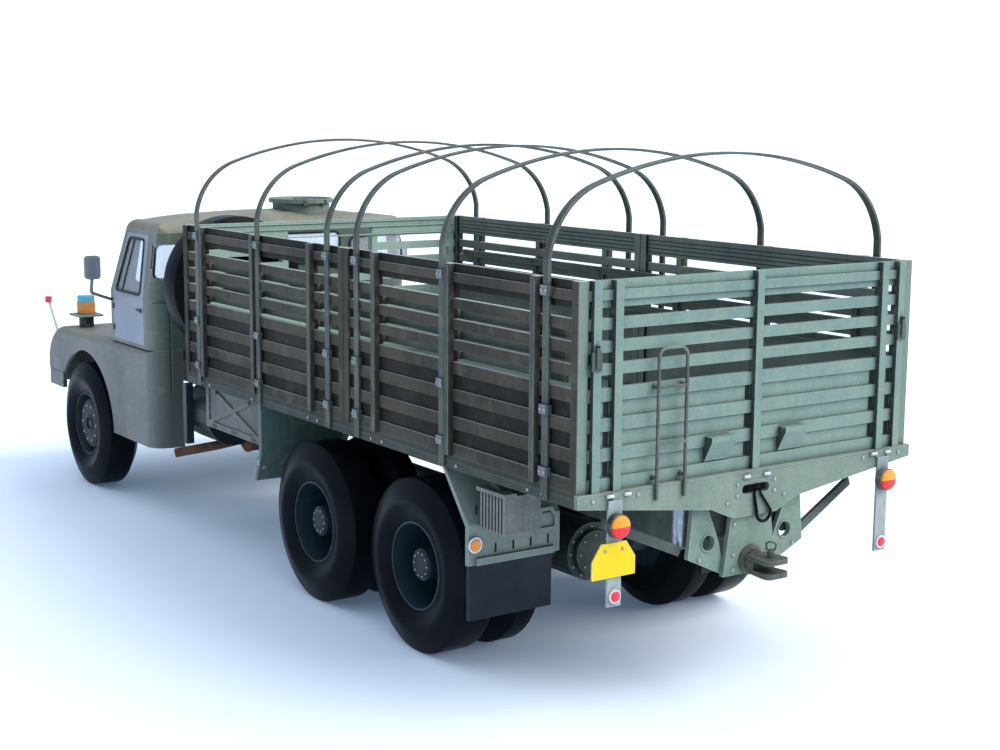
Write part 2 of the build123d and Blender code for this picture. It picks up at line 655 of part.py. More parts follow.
# Air tanks hung behind the bed's front, with a guard post outside each
air_r, air_y, air_z = 9.0, bed_half - 14.0, 37.5
air_x0, air_length = bed_front_x - 3.3, 18.0
hanger_w = 2.6
with BuildPart() as air_tanks:
    for side in (1, -1):
        with BuildSketch(Plane.YZ.offset(air_x0)):
            with Locations((side * air_y, air_z)):
                RegularPolygon(air_r, 28)
        extrude(amount=air_length)
        with Locations((air_x0 + hanger_w / 2 + 0.7, side * air_y, (air_z + air_r + under_deck) / 2 - 0.3)):
            Box(hanger_w, 6.0, under_deck - air_z - air_r + 0.6)
        with Locations((air_x0 + 12.5, side * (air_y + air_r + 0.8), air_z)):
            Box(2.4, 2.4, 18.8)
pieces["air_tanks"] = air_tanks.part

# Silencer under the frame, its pipe turned out behind the cab's left corner
muffler_r, muffler_x, muffler_z = 4.0, bed_front_x + 10.2, rail_low - 8.5
muffler_y0, muffler_y1 = 8.0, 26.0
pipe_r = 1.5
with BuildPart() as exhaust:
    with BuildSketch(Plane.XZ.offset(-muffler_y0)):
        with Locations((muffler_x, muffler_z)):
            RegularPolygon(muffler_r, 20)
    extrude(amount=-(muffler_y1 - muffler_y0))
    for pick in (0, -1):
        end = exhaust.faces().filter_by(Axis.Y).sort_by(Axis.Y)[pick]
        chamfer(end.edges(), 1.2)
    with Locations((muffler_x, rail_y, (muffler_z + rail_low) / 2 + 1.5)):
        Box(2.0, 2.0, rail_low - muffler_z - 3.0)
    with BuildLine() as pipe_line:
        FilletPolyline((muffler_x, muffler_y1 - 0.1, muffler_z), (muffler_x, muffler_y1 + 9, muffler_z - 1.0),
                       (muffler_x + 7.0, cab_half - 1.5, muffler_z - 3.4), radius=5.0)
    with BuildSketch(Plane(pipe_line.line @ 0, z_dir=pipe_line.line % 0)):
        RegularPolygon(pipe_r, 10)
    sweep(path=pipe_line.line)
pieces["exhaust"] = exhaust.part


# ===================================================================
# Cab: a hollow shell of card, split at roof, doors, floor and body
# ===================================================================
back_corner_r = 6.0                 # the cab's rounded rear corners
front_corner_r = 3.0
windscreen_top_x = cab_rear_x + 24.5
screen_foot_x = cowl_x - 2.0
roof_side_z = roof_z - 3.0


def cab_form(inset, low):
    """Solid of the cab's outline, drawn in by inset on every side."""
    rear, front = cab_rear_x + inset, cowl_x - inset
    top, half, waist = roof_z - inset, gutter_half - inset, cab_half - inset
    with BuildPart() as form:
        # plan: straight sides with rounded corners
        with BuildSketch(Plane.XY.offset(low)):
            with Locations(((rear + front) / 2, 0)):
                Rectangle(front - rear, 2 * waist)
            fillet(vertices().group_by(Axis.X)[0], back_corner_r - inset)
            fillet(vertices().group_by(Axis.X)[-1], front_corner_r - inset)
        extrude(amount=top - low + 2)
        # side view: upright back, crowned roof, raked windscreen
        with BuildSketch(Plane.XZ.offset(-cab_half - 2)):
            with BuildLine():
                Line((rear, low), (rear, gutter_z))
                ThreePointArc((rear, gutter_z), (rear + 1.4, roof_side_z - inset), (rear + 7, top - 0.7))
                ThreePointArc((rear + 7, top - 0.7), (rear + 13, top), (windscreen_top_x - 5, top - 1.2))
                ThreePointArc((windscreen_top_x - 5, top - 1.2), (windscreen_top_x - inset / 2, top - 3.0),
                              (windscreen_top_x + 1.6 - inset, gutter_z))
                Line((windscreen_top_x + 1.6 - inset, gutter_z), (screen_foot_x - inset, belt_z + 1))
                Line((screen_foot_x - inset, belt_z + 1), (front, belt_z - 1))
                Line((front, belt_z - 1), (front, low))
                Line((front, low), (rear, low))
            make_face()
        extrude(amount=2 * cab_half + 4, mode=Mode.INTERSECT)
        # seen from behind: sides lean in over the belt, the roof is crowned
        with BuildSketch(Plane.YZ.offset(cab_rear_x - 2)):
            with BuildLine():
                Line((-waist, low), (-waist, belt_z))
                Line((-waist, belt_z), (-half, gutter_z))
                ThreePointArc((-half, gutter_z), (-half + 1.1, gutter_z + 2.2 - inset / 2),
                              (-half + 4.6, roof_side_z - inset))
                ThreePointArc((-half + 4.6, roof_side_z - inset), (0, top), (half - 4.6, roof_side_z - inset))
                ThreePointArc((half - 4.6, roof_side_z - inset), (half - 1.1, gutter_z + 2.2 - inset / 2),
                              (half, gutter_z))
                Line((half, gutter_z), (waist, belt_z))
                Line((waist, belt_z), (waist, low))
                Line((waist, low), (-waist, low))
            make_face()
        extrude(amount=cab_length + 4, mode=Mode.INTERSECT)
    return form.part


cab_solid = cab_form(0.0, cab_floor_z)
cab_void = cab_form(card, cab_floor_z)

# Door and its window, whose front edge follows the windscreen pillar
door_rear_x = cab_rear_x + 7.6
door_front_x = cowl_x - 5.0
door_window = [(door_rear_x + 2.6, belt_z + 1.6), (cowl_x - 6.5, belt_z + 1.6),
               (windscreen_top_x - 2.0, gutter_z - 2.6), (door_rear_x + 2.6, gutter_z - 2.6)]
door_low = cab_floor_z + card + seam
door_outline = [(door_rear_x, door_low), (door_front_x, door_low), (door_front_x, belt_z),
                (cowl_x - 4.8, belt_z + 0.6), (windscreen_top_x - 0.4, gutter_z - 1.2),
                (door_rear_x, gutter_z - 1.2)]


def side_cut(points, corner_r):
    """Prisms of an XZ outline with rounded corners through the cab's two side walls."""
    with BuildPart() as cutter:
        for side in (1, -1):
            with BuildSketch(Plane.XZ.offset(-side * (gutter_half - 5))):
                with BuildLine():
                    Polyline(*points, close=True)
                make_face()
                fillet(vertices(), corner_r)
            extrude(amount=-side * 12)
    return cutter.part


# Windows of the back wall: middle y, half width, low z, high z; the outer two run round the corners
back_windows = [(0.0, 20.3, belt_z + 10.2, gutter_z - 1.5), (35.1, 11.1, belt_z + 7.2, gutter_z - 3.4),
                (-35.1, 11.1, belt_z + 7.2, gutter_z - 3.4)]
screen_half = 39.5                  # windscreen, split by a middle post
screen_low, screen_high = belt_z + 3.0, gutter_z - 2.2
window_r = 2.4


def back_cut():
    """Prisms through the back wall for its three windows."""
    with BuildPart() as cutter:
        with BuildSketch(Plane.YZ.offset(cab_rear_x - 2)):
            for mid, half, low, high in back_windows:
                with Locations((mid, (low + high) / 2)):
                    RectangleRounded(2 * half, high - low, window_r)
        extrude(amount=5.6)
    return cutter.part


def screen_cut():
    """Prisms through the windscreen's two panes."""
    with BuildPart() as cutter:
        with BuildSketch(Plane.YZ.offset(windscreen_top_x - 4)):
            for side in (1, -1):
                with Locations((side * (screen_half / 2 + 0.8), (screen_low + screen_high) / 2)):
                    RectangleRounded(screen_half - 1.6, screen_high - screen_low, window_r)
        extrude(amount=cowl_x - windscreen_top_x + 8)
    return cutter.part


hatch_x, hatch_y, hatch_r, lid_r = cab_rear_x + 12.0, -12.1, 9.6, 10.9
with BuildPart() as cab_shell:
    add(cab_solid)
    add(cab_void, mode=Mode.SUBTRACT)
    add(back_cut(), mode=Mode.SUBTRACT)
    add(screen_cut(), mode=Mode.SUBTRACT)

with BuildPart() as cab_body:
    add(cab_shell.part)
    split(bisect_by=Plane.XY.offset(gutter_z), keep=Keep.BOTTOM)
    add(side_cut(door_outline, 0.6), mode=Mode.SUBTRACT)
pieces["cab_body"] = cab_body.part

with BuildPart() as cab_roof:
    add(cab_shell.part)
    split(bisect_by=Plane.XY.offset(gutter_z), keep=Keep.TOP)
    with Locations((hatch_x, hatch_y, roof_z)):
        Cylinder(hatch_r + fit, 8, mode=Mode.SUBTRACT)
pieces["cab_roof"] = cab_roof.part

for hand, side in (("left", 1), ("right", -1)):
    with BuildPart() as door:
        add(side_cut(door_outline, 0.6))
        add(cab_shell.part, mode=Mode.INTERSECT)
        add(side_cut(door_window, 1.6), mode=Mode.SUBTRACT)
        split(bisect_by=Plane.XZ, keep=Keep.BOTTOM if side > 0 else Keep.TOP)
    pieces[f"door_{hand}"] = door.part

# Cab floor on four blocks that stand on the rails
with BuildPart() as cab_floor:
    with BuildSketch(Plane.XY.offset(cab_floor_z)):
        with Locations(((cab_rear_x + cowl_x) / 2, 0)):
            Rectangle(cab_length - 2 * card, 2 * (cab_half - card))
        fillet(vertices().group_by(Axis.X)[0], back_corner_r - card)
        fillet(vertices().group_by(Axis.X)[-1], front_corner_r - card)
    extrude(amount=card)
    for block_x in (cab_rear_x + 7, cowl_x - 7):
        for side in (1, -1):
            with BuildSketch(Plane.XY.offset(rail_high)):
                with Locations((block_x, side * rail_y)):
                    Rectangle(6.0, rail_w + 2.0)
            extrude(amount=cab_lift)
pieces["cab_floor"] = cab_floor.part

# Hatch in the roof: a neck with a dished lid
neck_rise, lid_t = 2.0, 1.4
with BuildPart() as roof_hatch:
    with BuildSketch(Plane.XY.offset(roof_z - 2.2)):
        with Locations((hatch_x, hatch_y)):
            RegularPolygon(hatch_r, 32)
    extrude(amount=2.2 + neck_rise)
    with BuildSketch(Plane.XY.offset(roof_z + neck_rise)):
        with Locations((hatch_x, hatch_y)):
            RegularPolygon(lid_r, 32)
    extrude(amount=lid_t)
    with BuildSketch(Plane.XY.offset(roof_z + neck_rise + lid_t)):
        with Locations((hatch_x, hatch_y)):
            RegularPolygon(lid_r - 0.7, 32)
    extrude(amount=-0.8, taper=30, mode=Mode.SUBTRACT)
pieces["roof_hatch"] = roof_hatch.part

# Window panes in the middle of the card's thickness
pane = 0.3
with BuildPart() as cab_glass:
    add(cab_form(card / 2 - pane / 2, cab_floor_z))
    add(cab_form(card / 2 + pane / 2, cab_floor_z), mode=Mode.SUBTRACT)
    glass_zone = Compound([back_cut(), screen_cut(), side_cut(door_window, 1.6)])
    add(glass_zone, mode=Mode.INTERSECT)
pieces["cab_glass"] = cab_glass.part

seat_y, seat_w, seat_depth, cushion_h, back_h = 20.0, 24.0, 13.0, 8.0, 20.0
with BuildPart() as seats:
    for side in (1, -1):
        with BuildSketch(Plane.XZ.offset(-side * seat_y - seat_w / 2)):
            with BuildLine():
                Polyline((cab_rear_x + card + 0.3, cab_floor_z + card),
                         (cab_rear_x + card + 0.3 + seat_depth, cab_floor_z + card),
                         (cab_rear_x + card + 0.6 + seat_depth, cab_floor_z + card + cushion_h),
                         (cab_rear_x + card + 4.4, cab_floor_z + card + cushion_h - 0.8),
                         (cab_rear_x + card + 3.2, cab_floor_z + card + back_h),
                         (cab_rear_x + card + 0.3, cab_floor_z + card + back_h), close=True)
            make_face()
        extrude(amount=seat_w)
pieces["seats"] = seats.part

wheel_y, wheel_ring_r = 20.0, 7.0
dash_depth, dash_h, dash_low = 6.0, 8.0, belt_z - 9.3
with BuildPart() as dashboard:
    with Locations((cowl_x - card - dash_depth / 2 - 0.05, 0, dash_low + dash_h / 2)):
        Box(dash_depth, 2 * cab_half - 8, dash_h)
    with BuildLine() as column:
        Line((cowl_x - card - dash_depth, wheel_y, belt_z - 3.8), (cowl_x - 13.0, wheel_y, belt_z + 0.6))
    with BuildSketch(Plane(column.line @ 0, z_dir=column.line % 0)):
        Rectangle(1.4, 1.4)
    sweep(path=column.line)
    with BuildSketch(Plane(column.line @ 1, z_dir=column.line % 1)):
        RegularPolygon(wheel_ring_r, 20)
        RegularPolygon(wheel_ring_r - 0.9, 20, mode=Mode.SUBTRACT)
        Rectangle(2 * wheel_ring_r - 1.2, 1.2)
    extrude(amount=0.9)
pieces["dashboard"] = dashboard.part

# ===================================================================
# Bonnet, fenders, bumper and lamps
# ===================================================================
bonnet_half = 24.0                  # where the bonnet's cheeks meet the fenders
fender_top = 53.1
nose_x = bumper_x - 7.0
bonnet_length = nose_x - cowl_x
# Bonnet sections: share of its length, half width, crown height over the rails
bonnet_rows = [(0.0, 23.0, 28.2), (0.45, 20.5, 26.2), (0.83, 17.5, 21.7), (1.0, 15.0, 16.2)]
shoulder_r = 6.0
grille_slots, grille_half, slot_w = 9, 12.0, 1.1
with BuildPart() as bonnet:
    for share, half, crown in bonnet_rows:
        with BuildSketch(Plane.YZ.offset(cowl_x + share * bonnet_length)):
            with BuildLine():
                Line((-half, rail_high), (-half, rail_high + crown - shoulder_r))
                ThreePointArc((-half, rail_high + crown - shoulder_r),
                              (-half + 1.9, rail_high + crown - 2.0), (-half + 6.5, rail_high + crown - 0.3))
                ThreePointArc((-half + 6.5, rail_high + crown - 0.3), (0, rail_high + crown),
                              (half - 6.5, rail_high + crown - 0.3))
                ThreePointArc((half - 6.5, rail_high + crown - 0.3), (half - 1.9, rail_high + crown - 2.0),
                              (half, rail_high + crown - shoulder_r))
                Line((half, rail_high + crown - shoulder_r), (half, rail_high))
                Line((half, rail_high), (-half, rail_high))
            make_face()
    loft(ruled=True)
    with BuildSketch(Plane.XZ.offset(-bonnet_half)):
        with BuildLine():
            Polyline((cowl_x, rail_high), (cowl_x, cab_floor_z), (bumper_x - 21.0, fender_top),
                     (bumper_x - 11.0, 50.5), (nose_x, 47.5), (nose_x, rail_high), close=True)
        make_face()
    extrude(amount=2 * bonnet_half)
    for slot in range(grille_slots):
        slot_y = -grille_half + slot * 2 * grille_half / (grille_slots - 1)
        with Locations((nose_x, slot_y, rail_high + 7.6)):
            Box(2.0, slot_w, 10.0, mode=Mode.SUBTRACT)
pieces["bonnet"] = bonnet.part

fender_side = cab_half + 0.3
arch_r = tyre_r + 4.3
skirt_low = 22.6
fender_front_x = bumper_x - 4.0
crest_r = 2.4                       # rounding of the fender's outer crest
return_y = 37.4                     # the skirt's folded rear edge ends here


def fender_form(inset, side):
    """Solid of one fender's outline, drawn in by inset on its visible sides."""
    with BuildPart() as form:
        with BuildSketch(Plane.XZ.offset(-side * (bonnet_half + (-1 if inset else seam)))):
            with BuildLine():
                Line((cab_rear_x + inset, skirt_low - inset), (cab_rear_x + inset, cab_floor_z - inset))
                Line((cab_rear_x + inset, cab_floor_z - inset), (cowl_x, cab_floor_z - inset))
                Line((cowl_x, cab_floor_z - inset), (bumper_x - 21.0, fender_top - inset))
                ThreePointArc((bumper_x - 21.0, fender_top - inset), (bumper_x - 9.4, 49.9 - inset * 0.8),
                              (fender_front_x - inset, 42.0))
                Line((fender_front_x - inset, 42.0), (fender_front_x - inset, rail_low + 1.5))
                Line((fender_front_x - inset, rail_low + 1.5), (front_axle_x + arch_r - 7.0, rail_low + 1.5))
                Line((front_axle_x + arch_r - 7.0, rail_low + 1.5), (front_axle_x, skirt_low - inset))
                Line((front_axle_x, skirt_low - inset), (cab_rear_x + inset, skirt_low - inset))
            make_face()
        extrude(amount=-side * (fender_side - inset - bonnet_half - (-1 if inset else seam)))
        face = form.faces().filter_by(Axis.Y).sort_by(Axis.Y)[-1 if side > 0 else 0]
        crest = [edge for edge in face.edges() if edge.center().Z > 44 and edge.center().X > cowl_x]
        if not inset:
            fillet(crest, crest_r)
        # plan: rounded at the cab's back corner and at the lamp
        with BuildSketch(Plane.XY):
            with Locations(((cab_rear_x + fender_front_x) / 2, 0)):
                Rectangle(fender_front_x - cab_rear_x - 2 * inset, 2 * (fender_side - inset))
            fillet(vertices().group_by(Axis.X)[0], back_corner_r - inset)
            fillet(vertices().group_by(Axis.X)[-1], crest_r - inset)
        extrude(amount=2 * cab_floor_z, mode=Mode.INTERSECT)
    return form.part


for hand, side in (("left", 1), ("right", -1)):
    with BuildPart() as fender:
        add(fender_form(0.0, side))
        add(fender_form(card, side), mode=Mode.SUBTRACT)
        # wheel arch
        with BuildSketch(Plane.XZ.offset(-side * (return_y + 2))):
            with Locations((front_axle_x, axle_z)):
                Circle(arch_r)
        extrude(amount=-side * 20, mode=Mode.SUBTRACT)
        # open back inboard of the folded edge
        with Locations((cab_rear_x, side * (bonnet_half - 1 + return_y) / 2, cab_floor_z / 2)):
            Box(6 * card, return_y - bonnet_half + 1, 3 * cab_floor_z, mode=Mode.SUBTRACT)
    pieces[f"fender_{hand}"] = fender.part

bumper_half = 47.0
bumper_low, bumper_high = rail_low - 4.7, rail_low + 0.9
bumper_depth = 17.5                 # the bumper's ends turn back along the sides
bumper_t, bumper_corner = 1.4, 5.0
with BuildPart() as bumper:
    with BuildSketch(Plane.XY.offset(bumper_low)):
        with Locations((bumper_x - bumper_depth / 2, 0)):
            Rectangle(bumper_depth, 2 * bumper_half)
        fillet(vertices().group_by(Axis.X)[-1], bumper_corner)
        offset(amount=-bumper_t, mode=Mode.SUBTRACT)
        with Locations((bumper_x - bumper_depth + bumper_t / 2, 0)):
            Rectangle(bumper_t + 0.02, 2 * (bumper_half - bumper_t), mode=Mode.SUBTRACT)
        for side in (1, -1):
            with Locations(((bumper_x - bumper_t / 2 + rail_front_x) / 2, side * rail_y)):
                Rectangle(bumper_x - bumper_t / 2 - rail_front_x, 3.0)
    extrude(amount=bumper_high - bumper_low)
pieces["bumper"] = bumper.part

headlamp_y, headlamp_z, headlamp_r = 36.5, rail_low + 5.9, 4.4
side_lamp_x, side_lamp_y = bumper_x - 24.0, 40.0
with BuildPart() as front_lamps:
    for side in (1, -1):
        with BuildSketch(Plane.YZ.offset(fender_front_x)):
            with Locations((side * headlamp_y, headlamp_z)):
                RegularPolygon(headlamp_r, 20)
        extrude(amount=2.2)
        with BuildSketch(Plane.YZ.offset(fender_front_x + 2.2)):
            with Locations((side * headlamp_y, headlamp_z)):
                RegularPolygon(headlamp_r - 0.6, 20)
        extrude(amount=-0.8, mode=Mode.SUBTRACT)
        # indicator on the fender: stem, body and cap
        for radius, low, high in ((2.6, fender_top + 0.4, fender_top + 5.0), (3.2, fender_top + 5.0, fender_top + 9.2),
                                  (3.0, fender_top + 9.2, fender_top + 11.4)):
            with BuildSketch(Plane.XY.offset(low)):
                with Locations((side_lamp_x, side * side_lamp_y)):
                    RegularPolygon(radius, 14)
            extrude(amount=high - low)
pieces["front_lamps"] = front_lamps.part

mirror_y, mirror_x, mirror_z = 58.0, windscreen_top_x - 1.5, belt_z + 10.0
with BuildPart() as mirrors:
    for side in (1, -1):
        with BuildLine() as arm:
            FilletPolyline((cowl_x - 3.4, side * (cab_half + gap), belt_z - 1.9),
                           (mirror_x + 1.7, side * mirror_y, belt_z + 1.7),
                           (mirror_x + 0.2, side * mirror_y, belt_z + 7.2), radius=2.0)
        with BuildSketch(Plane(arm.line @ 0, z_dir=arm.line % 0)):
            Rectangle(0.8, 0.8)
        sweep(path=arm.line)
        with BuildSketch(Plane.YZ.offset(mirror_x - 0.8)):
            with Locations((side * mirror_y, mirror_z)):
                RectangleRounded(5.0, 7.6, 1.2)
        extrude(amount=1.6)
pieces["mirrors"] = mirrors.part

rod_foot = (bumper_x - 6.7, 44.0)
rod_tip = (bumper_x - 3.5, 46.5)
rod_low, rod_high = fender_top - 5.3, fender_top + 8.4
with BuildPart() as marker_rods:
    for side in (1, -1):
        with BuildLine() as rod:
            Line((rod_foot[0], side * rod_foot[1], rod_low), (rod_tip[0], side * rod_tip[1], rod_high))
        with BuildSketch(Plane(rod.line @ 0, z_dir=rod.line % 0)):
            Rectangle(0.7, 0.7)
        sweep(path=rod.line)
        with BuildSketch(Plane.XY.offset(rod_high - 1.1)):
            with Locations((rod_tip[0], side * rod_tip[1])):
                RegularPolygon(1.2, 10)
        extrude(amount=2.2)
pieces["marker_rods"] = marker_rods.part

# ===================================================================
# Spare wheel behind the cab, axle along the truck
# ===================================================================
spare_y, spare_z = 27.0, deck_z + 23.8
spare_face_x = bed_front_x + 9.0    # the side that faces the bed
carrier_t = 0.9
spare_back_x = spare_face_x + tyre_w
turned = Location((spare_back_x, spare_y, spare_z), (0, 0, 90))
pieces["spare_tyre"] = card_tyre(tyre_w, 1).moved(turned)
pieces["spare_rim"] = card_rim(tyre_w, 1, front_rings, front_bore, front_depth).moved(turned)

carrier_x = spare_back_x + 0.1      # plate that the wheel leans on
with BuildPart() as spare_carrier:
    with Locations((carrier_x + carrier_t / 2, spare_y, (rail_high + spare_z + 6) / 2)):
        Box(carrier_t, 12.0, spare_z + 6 - rail_high)
    with Locations((carrier_x + carrier_t / 2, (spare_y + rail_y) / 2 - 2, rail_high + 2.0)):
        Box(carrier_t, spare_y - rail_y + 12.0, 4.0)
    with BuildSketch(Plane.YZ.offset(spare_face_x + front_bore + gap)):
        with Locations((spare_y, spare_z)):
            Circle(stub_r)
    extrude(amount=carrier_x - spare_face_x - front_bore - gap + 0.1)
pieces["spare_carrier"] = spare_carrier.part

for name, piece in pieces.items():
    piece.label = name
    export_step(piece, f"parts/{name}.step")
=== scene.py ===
"""Looks of a card model of a six-wheel military cargo truck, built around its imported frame.

Sizes are metres in the frame's axes: +X to the nose, +Y to the truck's left, +Z up.
"""
import math

import bpy
import bmesh
from mathutils import Matrix, Vector


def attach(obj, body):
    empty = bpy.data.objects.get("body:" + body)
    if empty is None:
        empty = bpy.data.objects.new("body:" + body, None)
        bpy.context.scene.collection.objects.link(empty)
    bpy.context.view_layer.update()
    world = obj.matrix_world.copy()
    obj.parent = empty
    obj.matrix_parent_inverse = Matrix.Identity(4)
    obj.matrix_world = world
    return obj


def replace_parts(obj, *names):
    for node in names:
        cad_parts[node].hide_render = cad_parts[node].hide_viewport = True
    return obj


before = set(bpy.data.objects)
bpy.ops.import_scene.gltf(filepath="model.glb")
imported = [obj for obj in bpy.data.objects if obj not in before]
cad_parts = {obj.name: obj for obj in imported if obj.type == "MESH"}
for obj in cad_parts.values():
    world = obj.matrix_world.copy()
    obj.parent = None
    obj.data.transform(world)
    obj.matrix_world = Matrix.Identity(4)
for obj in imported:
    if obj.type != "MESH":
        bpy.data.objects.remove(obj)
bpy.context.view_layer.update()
bpy.ops.object.select_all(action="DESELECT")

# ==== Table, camera and studio light ====
# The model stands on smooth white paper, lit softly by a window on its
# right and behind it, with a bluish fill, and is seen from its left rear.
camera_place = (-0.41460, 0.24750, 0.12959)
camera_heading = math.radians(-34.85)
camera_tilt = math.radians(-9.15)
camera_roll = math.radians(0.42)
camera_lens = 58.27

turn = (Matrix.Rotation(camera_heading - math.pi / 2, 3, "Z")
        @ Matrix.Rotation(math.pi / 2 + camera_tilt, 3, "X")
        @ Matrix.Rotation(camera_roll, 3, "Z"))
bpy.ops.object.camera_add(location=camera_place, rotation=turn.to_euler())
camera = bpy.context.object
camera.data.lens = camera_lens
camera.data.sensor_width = 36.0
camera.data.clip_start = 0.01
bpy.context.scene.camera = camera
bpy.context.scene.view_settings.view_transform = "Standard"

table_half = 6.0
bpy.ops.mesh.primitive_plane_add(size=2 * table_half, location=(0, 0, 0))
table = bpy.context.object
table.name = "table"
paper = bpy.data.materials.new("white_paper")
paper.use_nodes = True
shader = paper.node_tree.nodes["Principled BSDF"]
shader.inputs["Base Color"].default_value = (0.83, 0.89, 0.97, 1)
shader.inputs["Roughness"].default_value = 0.7
shader.inputs["Emission Color"].default_value = (0.42, 0.66, 1.0, 1)     # light that comes through the paper
shader.inputs["Emission Strength"].default_value = 0.11
table.data.materials.append(paper)

room = bpy.data.worlds.new("bright_room")
room.use_nodes = True
nodes, links = room.node_tree.nodes, room.node_tree.links
nodes["Background"].inputs["Color"].default_value = (0.74, 0.94, 1.24, 1)
nodes["Background"].inputs["Strength"].default_value = 0.64
wall = nodes.new("ShaderNodeBackground")
wall.inputs["Color"].default_value = (1, 1, 1, 1)
wall.inputs["Strength"].default_value = 1.02
path = nodes.new("ShaderNodeLightPath")
backdrop = nodes.new("ShaderNodeMixShader")
links.new(path.outputs["Is Camera Ray"], backdrop.inputs[0])
links.new(nodes["Background"].outputs[0], backdrop.inputs[1])
links.new(wall.outputs[0], backdrop.inputs[2])
links.new(backdrop.outputs[0], nodes["World Output"].inputs["Surface"])
bpy.context.scene.world = room

# name, where it comes from, strength, spread in degrees, colour
suns = [
    ("window", (-0.62, -0.56, 0.66), 3.0, 48, (1.0, 0.975, 0.93)),
    ("ceiling", (0.15, -0.25, 1.0), 1.2, 100, (1.0, 0.985, 0.96)),
]
for name, place, strength, spread, tint in suns:
    facing = Vector(place).to_track_quat("Z", "Y").to_euler()
    bpy.ops.object.light_add(type="SUN", location=place, rotation=facing)
    lamp = bpy.context.object
    lamp.name = name
    lamp.data.energy = strength
    lamp.data.angle = math.radians(spread)
    lamp.data.color = tint

# ==== Tyres ====
# Each tyre is a drum rolled from satin black card with a plain tread. The
# flanks slope to the rim, and an outer tyre's flank has a rounded ridge.
tail = -0.15775                     # the bed's rear end on the frame's X axis
tyre_radius, tyre_width, flank_width = 21.53, 11.4, 3.0            # millimetres
ridge_share, rim_share, flank_share = 0.72, 0.7064, 0.7989         # of the radius before it, towards the rim


def at(x, y, z):
    """A place in millimetres: ahead of the bed's rear end, left of the middle, over the floor."""
    return Vector((tail + x / 1000, y / 1000, z / 1000))


def put(tree, kind, inputs=(), **settings):
    """Adds a node with its settings and gives its sockets their values or links."""
    made = tree.nodes.new(kind)
    for name, value in settings.items():
        setattr(made, name, value)
    for socket, value in dict(inputs).items():
        if isinstance(value, bpy.types.NodeSocket):
            tree.links.new(value, made.inputs[socket])
        else:
            made.inputs[socket].default_value = value
    return made


def span(tree, value, low, high, start=0.0, end=1.0):
    """The value stretched from low..high to start..end."""
    return put(tree, "ShaderNodeMapRange", {"Value": value, "From Min": low, "From Max": high,
                                            "To Min": start, "To Max": end}).outputs["Result"]


def math_of(tree, kind, first, second=0.0):
    return put(tree, "ShaderNodeMath", {0: first, 1: second}, operation=kind).outputs[0]


def rgba(colour):
    """A colour in thousandths as a shader takes it; a socket stays as it is."""
    return colour if isinstance(colour, bpy.types.NodeSocket) else (*(value / 1000 for value in colour), 1)


def blend(tree, share, first, second, kind="MIX"):
    """Two colours mixed by a share."""
    return put(tree, "ShaderNodeMix", {0: share, 6: rgba(first), 7: rgba(second)},
               data_type="RGBA", blend_type=kind).outputs[2]


# Printed card as it ages: cloudy shading and rain streaks, rubbed crests,
# painted shade that darkens the corners, and the pale core showing at cut edges
aged = bpy.data.node_groups.new("aged_card", "ShaderNodeTree")
for name, start in (("Printed", (0.2, 0.2, 0.2, 1)), ("Shade", (0.1, 0.1, 0.1, 1)),
                    ("Rubbed", (0.3, 0.3, 0.3, 1)), ("Cut", (0.5, 0.5, 0.5, 1))):
    aged.interface.new_socket(name, in_out="INPUT", socket_type="NodeSocketColor").default_value = start
for name, start in (("Shading", 0.6), ("Rubbing", 0.4), ("Cut Amount", 0.7), ("Cut Width", 0.0003),
                    ("Top Cut", 0.0), ("Patches", 60.0), ("Streaks", 0.4), ("Dirt", 0.6), ("Matt", 0.6)):
    aged.interface.new_socket(name, in_out="INPUT", socket_type="NodeSocketFloat").default_value = start
aged.interface.new_socket("Color", in_out="OUTPUT", socket_type="NodeSocketColor")
aged.interface.new_socket("Roughness", in_out="OUTPUT", socket_type="NodeSocketFloat")
aged.interface.new_socket("Height", in_out="OUTPUT", socket_type="NodeSocketFloat")
given = put(aged, "NodeGroupInput").outputs
place = put(aged, "ShaderNodeTexCoord").outputs["Object"]
cloud = put(aged, "ShaderNodeTexNoise", {"Vector": place, "Scale": given["Patches"], "Detail": 6.0,
                                         "Roughness": 0.62}).outputs["Fac"]
down = put(aged, "ShaderNodeMapping", {"Vector": place, "Scale": (1, 1, 0.06)}).outputs["Vector"]
rain = put(aged, "ShaderNodeTexNoise", {"Vector": down, "Scale": 420.0, "Detail": 4.0,
                                        "Roughness": 0.7}).outputs["Fac"]
grain = put(aged, "ShaderNodeTexNoise", {"Vector": place, "Scale": 1600.0, "Detail": 3.0}).outputs["Fac"]
weather = put(aged, "ShaderNodeMix", {0: given["Streaks"], 2: cloud, 3: rain}, data_type="FLOAT").outputs[0]
darker = math_of(aged, "MULTIPLY", span(aged, weather, 0.42, 0.62), given["Shading"])
rubbed = put(aged, "ShaderNodeTexNoise", {"Vector": place, "Scale": math_of(aged, "MULTIPLY", given["Patches"], 3.1),
                                          "Detail": 8.0, "Roughness": 0.75}).outputs["Fac"]
lighter = math_of(aged, "MULTIPLY", span(aged, rubbed, 0.52, 0.70), given["Rubbing"])
tone = blend(aged, darker, given["Printed"], given["Shade"])
tone = blend(aged, lighter, tone, given["Rubbed"])
speck = span(aged, grain, 0.3, 0.7, 0.90, 1.08)
speckled = put(aged, "ShaderNodeCombineColor", {0: speck, 1: speck, 2: speck}).outputs[0]
tone = blend(aged, 1.0, tone, speckled, "MULTIPLY")
# Painted shade: where ambient occlusion finds corners and crevices, the colour is darkened towards near black
corner = put(aged, "ShaderNodeAmbientOcclusion", {"Distance": 0.0016}, samples=4).outputs["AO"]
dirt = math_of(aged, "MULTIPLY", span(aged, corner, 0.9, 0.35), given["Dirt"])
tone = blend(aged, dirt, tone, (12, 14, 14))
facing = put(aged, "ShaderNodeNewGeometry").outputs["Normal"]
rounded = put(aged, "ShaderNodeBevel", {"Radius": given["Cut Width"]}, samples=4).outputs["Normal"]
